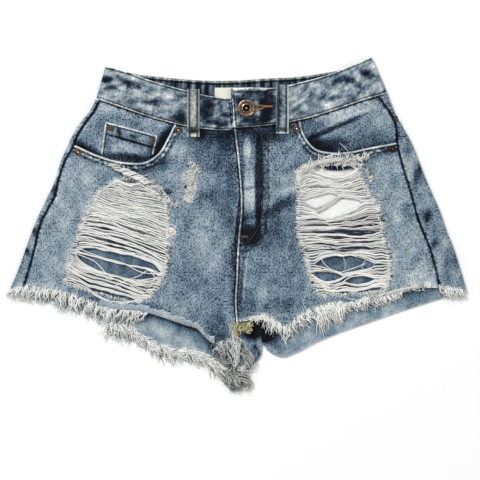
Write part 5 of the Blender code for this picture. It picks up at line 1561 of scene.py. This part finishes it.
def makePocketStitches():
    rows = []
    for line, top in ((mouths["left"], leftTop), (mouths["right"], rightTop)):
        puffedTop = puffed(top, line(even(60)))
        rows += [stitches(beside(line, -aside), puffedTop, 3.1) for aside in rowInset["mouth"]]
    for aside in rowInset["coin"]:
        rows.append(stitches(beside(curve(coin["top"]), -aside)[4:-4], coinTop, 3.0))
    for ends, aside in ((((-154, 120), (-159, 86)), 1), (((-93, 104), (-98, 85)), -1)):
        rows.append(stitches(beside(polyline(ends), aside * rowInset["coinSide"]), coinTop, 3.0))
    makeStitches("pocketStitches", rows, "khaki", 0.34)


def makeFlyStitches():
    rows = [curve(row)(even(100)) for row in jStitch.values()]
    crotch = curve(body["flyEdge"])
    rows += [beside(crotch, aside)[70:] for aside in rowInset["crotch"]]
    rows.append(beside(crotch, rowInset["fly"])[:60])
    makeStitches("flyStitches", [stitches(row, rightTop, 3.2) for row in rows], "khaki", 0.32)


def makeLoopStitches():
    rows = []
    for name, spec in frontLoops.items():
        x, top, bottom = spec["at"]
        for side in (-1, 1):
            line = np.column_stack([np.full(60, x + side * rowInset["loop"]),
                                    np.linspace(top - 1, bottom + 1, 60)])
            rows.append(stitches(line, above(loopTops[name], 0.35), 3.0))
    makeStitches("loopStitches", rows, "khaki", 0.34)


print("sewing")
makeBandStitches()
makePocketStitches()
makeFlyStitches()
makeLoopStitches()
makeStitches("bartacks", [bartack(*tack) for tack in bartacks], "khaki", 0.3, 4)


# frayed places on the cloth
def scatter(name, groups, finish="fray"):
    # groups of strands, each made of its paths, widths and shades
    paths, widths, shades = (np.array(sum(lists, [])) for lists in zip(*groups))
    tubes(name, paths, widths, finish, shades, 3)


tipTaper = np.array([1, 1, 1, 1, 1, 0.95, 0.85, 0.7, 0.5])
endsTaper = np.array([0.5, 0.9, 1, 1, 1, 1, 1, 0.9, 0.5])
shadowShades = (0.05, 0.35)


def fuzz(points, count, size, height, lean=None, curl=1.0, width=(0.32, 0.6), shade=(0.8, 1.2), dim=0.15,
         spread=0.9, rise=1.2):
    # short strands that stand about along a row of points; a share of them is dim, lying low in dark shades
    # painted as the shade among the strands
    line = polyline(points)
    paths, widths, shades = [], [], []
    for _ in range(count):
        t = chance.uniform()
        start = line(t) + chance.normal(0, spread, 2)
        angle = chance.uniform(0, 6.3) if lean is None else math.radians(lean) + chance.normal(0, 0.45)
        long = chance.uniform(0.35, 1.2) * size
        end = start + long * np.array([math.cos(angle), math.sin(angle)])
        low = chance.uniform() < dim
        startZ = float(height(*start)) + (0.05 if low else 0.3)
        endZ = float(height(*end)) + chance.uniform(0.1, 0.4 if low else rise)
        paths.append(strandPath(np.array([*start, startZ]), np.array([*end, endZ]),
                                curl * chance.uniform(0.3, 1.4), chance.uniform(0.2, 1.0) * (not low), 9,
                                chance.uniform(0.4, 1.6)))
        widths.append(chance.uniform(*width) * tipTaper)
        shades.append(np.full(9, chance.uniform(*(shadowShades if low else shade))))
    return paths, widths, shades


def twisted(points, count, radius, height, turns=3.0, width=(0.4, 0.65), shade=(0.8, 1.2), dim=0.15):
    # strands wound round one another along a line
    line = curve(points)
    paths, widths, shades = [], [], []
    for _ in range(count):
        t0 = chance.uniform(0, 0.45)
        t = np.linspace(t0, min(t0 + chance.uniform(0.3, 0.6), 1.0), 9)
        plan = line(t)
        across = leftOf(np.gradient(plan, axis=0))
        wind = 2 * math.pi * turns * t + chance.uniform(0, 6.3)
        off = chance.uniform(0.5, 1.0) * radius
        plan = plan + across * (off * np.sin(wind))[:, None]
        z = height(plan[:, 0], plan[:, 1]) + 0.5 + off * 0.55 * (1 + np.cos(wind))
        # a share of the strands lies lower in dark shades, painted as the shade inside the twist
        low = chance.uniform() < dim
        paths.append(np.column_stack([plan, z - 0.5 * low]))
        widths.append(chance.uniform(*width) * endsTaper)
        shades.append(np.full(9, chance.uniform(*(shadowShades if low else shade))))
    return paths, widths, shades


def makeRipFray(name, top):
    rows = rips[name]["rows"]
    rims = ripPoints(rows, [0.0, 1.0], even(40))
    crown, foot = ripPoints(rows, even(20), [0.0])[0], ripPoints(rows, even(20), [1.0])[0]
    parts = ((rims[:, 0], 150, 4.5, 180, 1.2), (rims[:, 1], 150, 4.5, 0, 1.2), (rims[:, 0], 50, 4, 90, 1.6),
             (rims[:, 1], 50, 4, -80, 1.6), (crown, 40, 4, 90, 1.0), (foot, 30, 4, -90, 1.0))
    scatter(f"ripFray{name.capitalize()}", [fuzz(points, count, size, top, lean, curl)
                                            for points, count, size, lean, curl in parts])


def makeFrayLeft():
    # torn strip over the top of the left rip
    flap = [(-147, 73), (-138, 67), (-124, 61), (-110, 54), (-98, 47), (-88, 43)]
    scatter("frayLeft", [
        twisted(flap, 64, 4.2, leftTop, width=(0.45, 0.7), shade=(0.75, 1.35), dim=0.1),
        fuzz(flap[1:5], 60, 7, leftTop, -25, 1.6, spread=2.2, width=(0.35, 0.6), shade=(0.7, 1.3)),
        fuzz(flap[:2], 18, 8, leftTop, 160, 1.6),
        fuzz(flap[4:], 30, 6, leftTop, -20, 1.8),
        fuzz([(-118, 58), (-90, 45)], 20, 5, leftTop, -60, 1.6),
        # dark strands along the strip's lower side, painted as its shadow
        fuzz([(-130, 56), (-104, 45)], 40, 6, leftTop, 155, 0.6, dim=1.0, width=(0.5, 0.8)),
        fuzz([(-84, 33), (-76, 27), (-68, 25)], 34, 5.5, leftTop, None, 2.2),
        fuzz([(-86, 40), (-84, 32), (-85, 20)], 34, 4.5, leftTop, 10, 1.6)])


wornSpot = {"spine": ((-52, 66), (-55, 57), (-58, 47), (-57, 38), (-56, 33)), "strands": 380,
            "hole": (-60.5, 45.5), "holeRadius": 2.6}


def makeWornSpot():
    # a soft patch of short strands beside the left rip, with curls above and below
    paths, widths, shades = [], [], []
    spine, hole = curve(wornSpot["spine"]), wornSpot["hole"]
    for _ in range(wornSpot["strands"]):
        t = chance.uniform()
        middle = spine(t)
        half = 5.0 + 3.6 * math.sin(math.pi * min(0.12 + t * 0.8, 1)) ** 1.3
        middle = middle + [chance.uniform(-0.75, 0.75) * half, chance.normal(0, 1.0)]
        if math.hypot(middle[0] - hole[0], (middle[1] - hole[1]) / 1.3) < wornSpot["holeRadius"]:
            continue
        turn = math.radians(chance.normal(8, 32))
        reach = np.array([math.cos(turn), math.sin(turn)]) * chance.uniform(1.2, 3.4)
        start, end = [np.append(plan, float(leftTop(*plan)) + 0.15)
                      for plan in (middle - reach, middle + reach)]
        paths.append(strandPath(start, end, chance.uniform(0.4, 1.6), chance.uniform(0.2, 0.9), 9, 0.8))
        widths.append(np.full(9, chance.uniform(0.26, 0.42)))
        shades.append(np.full(9, chance.uniform(0.26, 1.05)))
    scatter("wornSpot", [
        (paths, widths, shades),
        fuzz([(-56, 72), (-50, 73), (-46, 64)], 26, 6, leftTop, None, 2.6, shade=(0.6, 1.2)),
        fuzz([(-64, 34), (-58, 29), (-51, 33)], 36, 5, leftTop, None, 2.6, shade=(0.6, 1.2))])


def makeFrayRight():
    # torn band over the top of the right rip, and the frayed hem beside the right fringe
    crown = curve([(71, 56), (76, 65), (90, 72), (112, 76), (132, 76), (150, 80)])(even(40))
    scatter("frayRight", [
        fuzz(crown, 60, 10, rightTop, 62, 0.9, spread=1.6, dim=0.1, width=(0.4, 0.7)),
        fuzz(crown, 110, 8, rightTop, None, 2.6, spread=2.6, dim=0.12, width=(0.35, 0.6)),
        twisted([(74, 60), (90, 72), (112, 77), (134, 77), (152, 79)], 46, 3.2, rightTop, 5.0,
                (0.35, 0.55), (0.6, 1.1)),
        fuzz(crown, 30, 7, rightTop, 50, 0.8, spread=2.4, dim=1.0),
        fuzz(crown, 36, 7, rightTop, -60, 1.6, spread=1.6),
        fuzz([(73, 44), (73, 58), (82, 67)], 90, 8, rightTop, 120, 1.4, spread=1.6),
        fuzz([(140, 72), (150, 64), (156, 50)], 30, 6, rightTop, 30, 1.6),
        twisted([(150, -84), (170, -80), (195, -73.5), (222, -69.5)], 56, 1.8, rightTop, 7.0, (0.3, 0.5),
                (0.5, 1.1)),
        fuzz([(156, -84), (221, -71)], 60, 6, rightTop, 8, 1.2, spread=1.2, shade=(0.6, 1.1))])


looseThreads = (             # width, shade, what it lies on, points
    (0.22, 0.8, rightTop, ((62, -16), (58, -26), (58, -36), (63, -44), (68, -48))),
    (0.26, 0.8, rightTop, ((83, -36), (86, -50), (84, -66), (80, -80), (78, -92), (84, -100))),
    (0.3, 0.8, rightTop, ((158, 2), (170, -2), (178, 2), (184, 6))),
    (0.3, 0.8, facingTop, ((120, 97), (126, 92), (130, 87))),
    (0.3, 0.3, rightTop, ((106, -94), (108, -90), (112, -94), (108, -99), (104, -96))),
    (0.45, 0.85, rightTop, ((96, -34), (104, -46), (118, -54), (134, -50), (150, -44))),
    (0.26, 0.7, rightTop, ((124, -36), (127, -44), (125, -52))),
    (0.3, 0.7, rightTop, ((150, -40), (146, -48), (152, -52), (160, -46), (158, -40))),
    (0.45, 0.9, leftTop, ((-146, -72), (-130, -64), (-114, -58), (-104, -52), (-94, -62), (-90, -66))),
    (0.5, 0.9, leftTop, ((-186, -26), (-160, -36), (-132, -44), (-112, -54), (-96, -56), (-84, -56))),
    (0.5, 0.85, leftTop, ((-189, -32), (-166, -42), (-150, -58), (-128, -68), (-110, -70))),
)
lintBall = {"at": (-76.5, -7), "threads": 40, "width": 0.5}


def makeLooseThreads():
    steps = 40
    paths, widths, shades = [], [], []
    for width, shade, top, points in looseThreads:
        plan = curve(points)(even(steps))
        z = top(plan[:, 0], plan[:, 1]) + 0.35 + 0.15 * np.sin(np.arange(steps) * 0.7)
        paths.append(np.column_stack([plan, z]))
        widths.append(np.full(steps, width))
        shades.append(shade)
    tubes("looseThreads", paths, np.array(widths), "fray", shades, 5)


def makeLintBall():
    paths = []
    for _ in range(lintBall["threads"]):
        turn, tilt = chance.uniform(0, 6.3), chance.normal(0, 0.35)
        a = np.linspace(0, chance.uniform(2, 4.5), 18) + chance.uniform(0, 6.3)
        r = chance.uniform(0.8, 4.6)
        cx, cy = [middle + chance.normal(0, 2.2) for middle in lintBall["at"]]
        x = cx + r * np.cos(a)
        y = cy + r * np.sin(a) * 0.95
        z = leftTop(x, y) + 0.9 + 0.8 * np.sin(a + turn) + tilt
        paths.append(np.column_stack([x, y, z]))
    tubes("lintBall", paths, lintBall["width"], "fray", chance.uniform(0.3, 1.6, len(paths)), 4)


# strands that run side by side along an arc: count, width, turns, shades, points
crotchLocks = (
    (40, 3.4, 0.6, (0.45, 1.15), ((6, -142), (14, -150), (18, -160), (16, -172))),
    (26, 2.6, 0.8, (0.5, 1.2), ((4, -146), (10, -156), (13, -166), (10, -174))),
    (30, 3.2, 1.3, (0.15, 0.9), ((-18, -134), (-20, -143), (-15, -151), (-9, -155))),
    (30, 3.2, 1.3, (0.2, 0.9), ((-9, -138), (-14, -148), (-17, -156), (-12, -163))),
    (30, 3.4, 1.1, (0.35, 1.0), ((-19, -153), (-13, -160), (-6, -164), (1, -163))),
    (40, 4.2, 0.9, (0.4, 1.05), ((-10, -167), (-6, -174), (-7, -182), (-11, -189))),
    (40, 4.0, 0.8, (0.4, 1.0), ((-18, -172), (-13, -180), (-7, -186), (-2, -194))),
    (56, 4.4, 0.7, (0.4, 1.15), ((-8, -177), (-1, -174), (7, -177), (13, -183), (11, -190), (4, -193))),
    (34, 4.4, 0.9, (0.35, 1.1), ((0, -170), (2, -179), (0, -186), (3, -194))),
)


def crotchTop(x, y):
    # from the fronts down to the surface, past the cut edge
    return frontUnder(x, y) + 0.2 - 2.8 * np.clip((-144 - y) / 26, 0, 1)


def makeCrotchKnot():
    # thread ends of the crotch seam, still in the cut edge
    low = crotchTop
    scatter("crotchKnot", [
        fuzz([(-3, -112), (5, -114), (17, -113)], 84, 8, low, -120, 2.2, (0.4, 0.7), (0.1, 1.1), 0.3),
        fuzz([(-5, -118), (4, -122), (15, -119)], 84, 6, low, None, 2.6, (0.4, 0.7), (0.1, 1.1), 0.3),
    ], "olive")
    scatter("crotchKnotEnd", [fuzz([(-5, -120), (-2, -124), (0, -128)], 40, 5, low, -90, 1.0)], "ochre")
    scatter("crotchFray", [
        fuzz([(14, -108), (20, -106), (28, -106), (36, -110)], 100, 6.5, rightTop, -25, 1.6, dim=0.2,
             spread=1.3, width=(0.4, 0.7)),
        twisted([(2, -132), (1, -142), (0, -152), (-3, -166)], 44, 3.4, low, 0.9, (0.35, 0.55), (0.7, 1.3)),
        fuzz([(0, -140), (0, -152), (-3, -160)], 40, 9, low, -88, 2.6, spread=2.6, rise=3.5,
             shade=(0.7, 1.2), dim=0.1)])
    # a dark under-layer of curls, painted as the shade under the locks
    groups = [fuzz([(-20, -136), (-14, -150), (-8, -164), (-1, -176), (0, -188)], 260, 7, low, None, 3.0,
                   spread=5.0, shade=(0.05, 0.45), dim=0.4, rise=1.0)]
    for count, wide, turns, shades, points in crotchLocks:
        groups.append(twisted(points, count, wide, low, turns, (0.4, 0.62), shades, 0.3))
    scatter("crotchLump", groups, "matted")


keyhole = {"start": 19.5, "stitches": 34, "pitch": 0.66, "tall": 1.7, "top": 141.2, "low": 132.2,
           "closeFrom": 20, "closeOver": 13, "topFalls": 1.2, "lowRises": 7.2}


def makeKeyhole():
    # buttonhole stitching: a wedge from the button that closes to a bar
    rows = []
    for k in range(keyhole["stitches"]):
        x = keyhole["start"] + k * keyhole["pitch"]
        close = np.clip((x - keyhole["closeFrom"]) / keyhole["closeOver"], 0, 1)
        edges = keyhole["top"] - keyhole["topFalls"] * close, keyhole["low"] + keyhole["lowRises"] * close
        for y in edges:
            ys = np.linspace(y - keyhole["tall"] / 2, y + keyhole["tall"] / 2, 5)
            xs = np.full(5, x) + 0.15 * np.sin(np.arange(5) + k)
            z = bandTops["right"](xs, ys) + np.array([-0.2, 0.35, 0.5, 0.35, -0.2])
            rows.append(np.column_stack([xs, ys, z]))
    makeStitches("keyholeStitches", [rows], "ochre", 0.3, 4)


print("frayed places")
makeRipFray("left", leftTop)
makeRipFray("right", rightTop)
makeFrayLeft()
makeWornSpot()
makeFrayRight()
makeLooseThreads()
makeLintBall()
makeCrotchKnot()
makeKeyhole()


# metal: a disc drawn up through its rings, each ring a radius and a height
def turnedDisc(name, place, base, rings, sides):
    x, y = (np.array(place) + planMove[:2]) * mm
    bpy.ops.mesh.primitive_circle_add(vertices=sides, radius=rings[0][0] * mm, fill_type="NGON",
                                      location=(x, y, (base + rings[0][1]) * mm))
    disc = bpy.context.object
    disc.name = name
    bpy.ops.object.mode_set(mode="EDIT")
    bpy.ops.mesh.select_all(action="SELECT")
    for (r0, z0), (r1, z1) in zip(rings[:-1], rings[1:]):
        bpy.ops.mesh.extrude_region_move(TRANSFORM_OT_translate={"value": (0, 0, (z1 - z0) * mm)})
        bpy.ops.transform.resize(value=(r1 / r0, r1 / r0, 1), center_override=(x, y, (base + z1) * mm))
    bpy.ops.mesh.select_all(action="SELECT")
    bpy.ops.mesh.normals_make_consistent(inside=False)
    bpy.ops.object.mode_set(mode="OBJECT")
    bpy.ops.object.select_all(action="DESELECT")
    return disc


def beads(places, radius, tall):
    made = []
    for x, y, z in places:
        bpy.ops.mesh.primitive_uv_sphere_add(segments=8, ring_count=6, radius=radius * mm, location=(
            (x + planMove[0]) * mm, (y + planMove[1]) * mm, z * mm), scale=(1, 1, tall))
        made.append(bpy.context.object)
    return made


def finishMetal(piece, parts, shade, nodes):
    bpy.ops.object.select_all(action="DESELECT")
    for part in parts + [piece]:
        part.select_set(True)
    bpy.context.view_layer.objects.active = piece
    if parts:
        bpy.ops.object.join()
    bpy.ops.object.transform_apply(location=True, rotation=True, scale=True)
    bpy.ops.object.shade_smooth_by_angle(angle=math.radians(38))
    mesh = piece.data
    values = [shade(x / mm - planMove[0], y / mm - planMove[1], z / mm)
              for x, y, z in (vertex.co for vertex in mesh.vertices)]
    mesh.attributes.new("shade", "FLOAT", "POINT").data.foreach_set("value", values)
    mesh.materials.clear()
    mesh.materials.append(finishes["copper"])
    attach(piece, "root")
    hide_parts(*nodes)
    bpy.ops.object.select_all(action="DESELECT")


def makeButton():
    base = buttonLow.z / mm
    rings = (
        (7.6, 0), (9.9, 0.8), (10.3, 1.5), (10.1, 2.1), (9.6, 2.6), (8.9, 2.9), (8.2, 2.75), (7.8, 2.3),
        (7.4, 2.1), (5.8, 2.2), (5.3, 2.75), (4.7, 2.9), (4.2, 2.6), (3.9, 1.0), (2.4, 0.7), (1.2, 0.7),
        (1.0, 1.4), (0.6, 1.6), (0.1, 1.65))
    atX, atY = button["at"]
    disc = turnedDisc("buttonMetal", button["at"], base, rings, 64)
    places = [(atX + button["dotRing"] * math.cos(a), atY + button["dotRing"] * math.sin(a), base + 2.2)
              for a in np.arange(button["dots"]) * 2 * math.pi / button["dots"]]

    def shade(x, y, z):
        # pale rims and middle; the dark in the sunk ring between them is painted shade of the hollow
        r = math.hypot(x - atX, y - atY)
        if r > 4.0:
            return 0.44 + 0.2 * (z - base > 2.4)
        return -0.6 if r > 1.1 else 0.75
    finishMetal(disc, beads(places, 0.55, 0.8), shade, ["button"])


rivets = {                   # place, and how much darker its metal is
    "left_side": ((-185.5, 86), 0.0), "left_band": ((-68.5, 112), 0.0),
    "right_band": ((70, 113.5), 0.0), "right_side": ((182, 90), 0.25),
}


def makeRivet(name, place, dull):
    low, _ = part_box(f"rivet_{name}")
    rings = (
        (3.4, 0), (4.15, 0.35), (4.2, 0.6), (3.9, 1.0), (3.3, 1.2), (2.7, 1.05), (2.2, 0.8), (1.8, 0.8),
        (1.5, 1.2), (1.1, 1.55), (0.6, 1.7), (0.08, 1.72))
    disc = turnedDisc("rivet" + name.title().replace("_", ""), place, low.z / mm, rings, 32)

    def shade(x, y, z):
        r = math.hypot(x - place[0], y - place[1])
        return (0.8 if r < 1.2 else 0.0 if r < 2.4 else 0.46) - dull
    finishMetal(disc, [], shade, [f"rivet_{name}"])


print("metal")
makeButton()
for rivetName, rivetSpec in rivets.items():
    makeRivet(rivetName, *rivetSpec)


# floor, light and camera
view = {"across": 561.6, "centre": (3.51, -16.38), "height": 2000, "cloth": 6, "sensor": 36, "sky": 0.56,
        "floor": 8, "floorDrop": 0.0004}
lamps = {                    # place in metres, size, power
    "key": ((-1.9, 2.3, 2.9), 1.0, 124), "fill": ((2.6, -1.0, 3.6), 2.4, 30),
}


def makeStage():
    bpy.ops.mesh.primitive_plane_add(size=view["floor"], location=(0, 0, -view["floorDrop"]))
    floor = bpy.context.object
    floor.name = "floor"
    pale = Finish("paleFloor", Roughness=0.9, Specular_IOR_Level=0.1)
    pale.shader.inputs["Base Color"].default_value = (0.9, 0.9, 0.9, 1)
    floor.data.materials.append(pale.data)

    world = bpy.data.worlds.new("softSky")
    bpy.context.scene.world = world
    world.use_nodes = True
    sky = world.node_tree.nodes["Background"].inputs
    sky["Color"].default_value = (1, 1, 1, 1)
    sky["Strength"].default_value = view["sky"]
    for name, (place, size, power) in lamps.items():
        bpy.ops.object.light_add(type="AREA", location=place)
        lamp = bpy.context.object
        lamp.name = name
        lamp.data.size, lamp.data.energy = size, power
        lamp.rotation_euler = (-lamp.location).to_track_quat("-Z", "Y").to_euler()

    x, y = np.array(view["centre"]) * mm + planMove[:2] * mm
    bpy.ops.object.camera_add(location=(x, y, view["height"] * mm))
    camera = bpy.context.object
    camera.data.sensor_width = view["sensor"]
    camera.data.lens = view["sensor"] * (view["height"] - view["cloth"]) / view["across"]
    camera.data.clip_end = 20
    bpy.context.scene.camera = camera
    bpy.context.scene.view_settings.view_transform = "Standard"


makeStage()
for title, wide, long, area in cutList:
    print(f"{title}: {wide} x {long} mm, {area} m2")
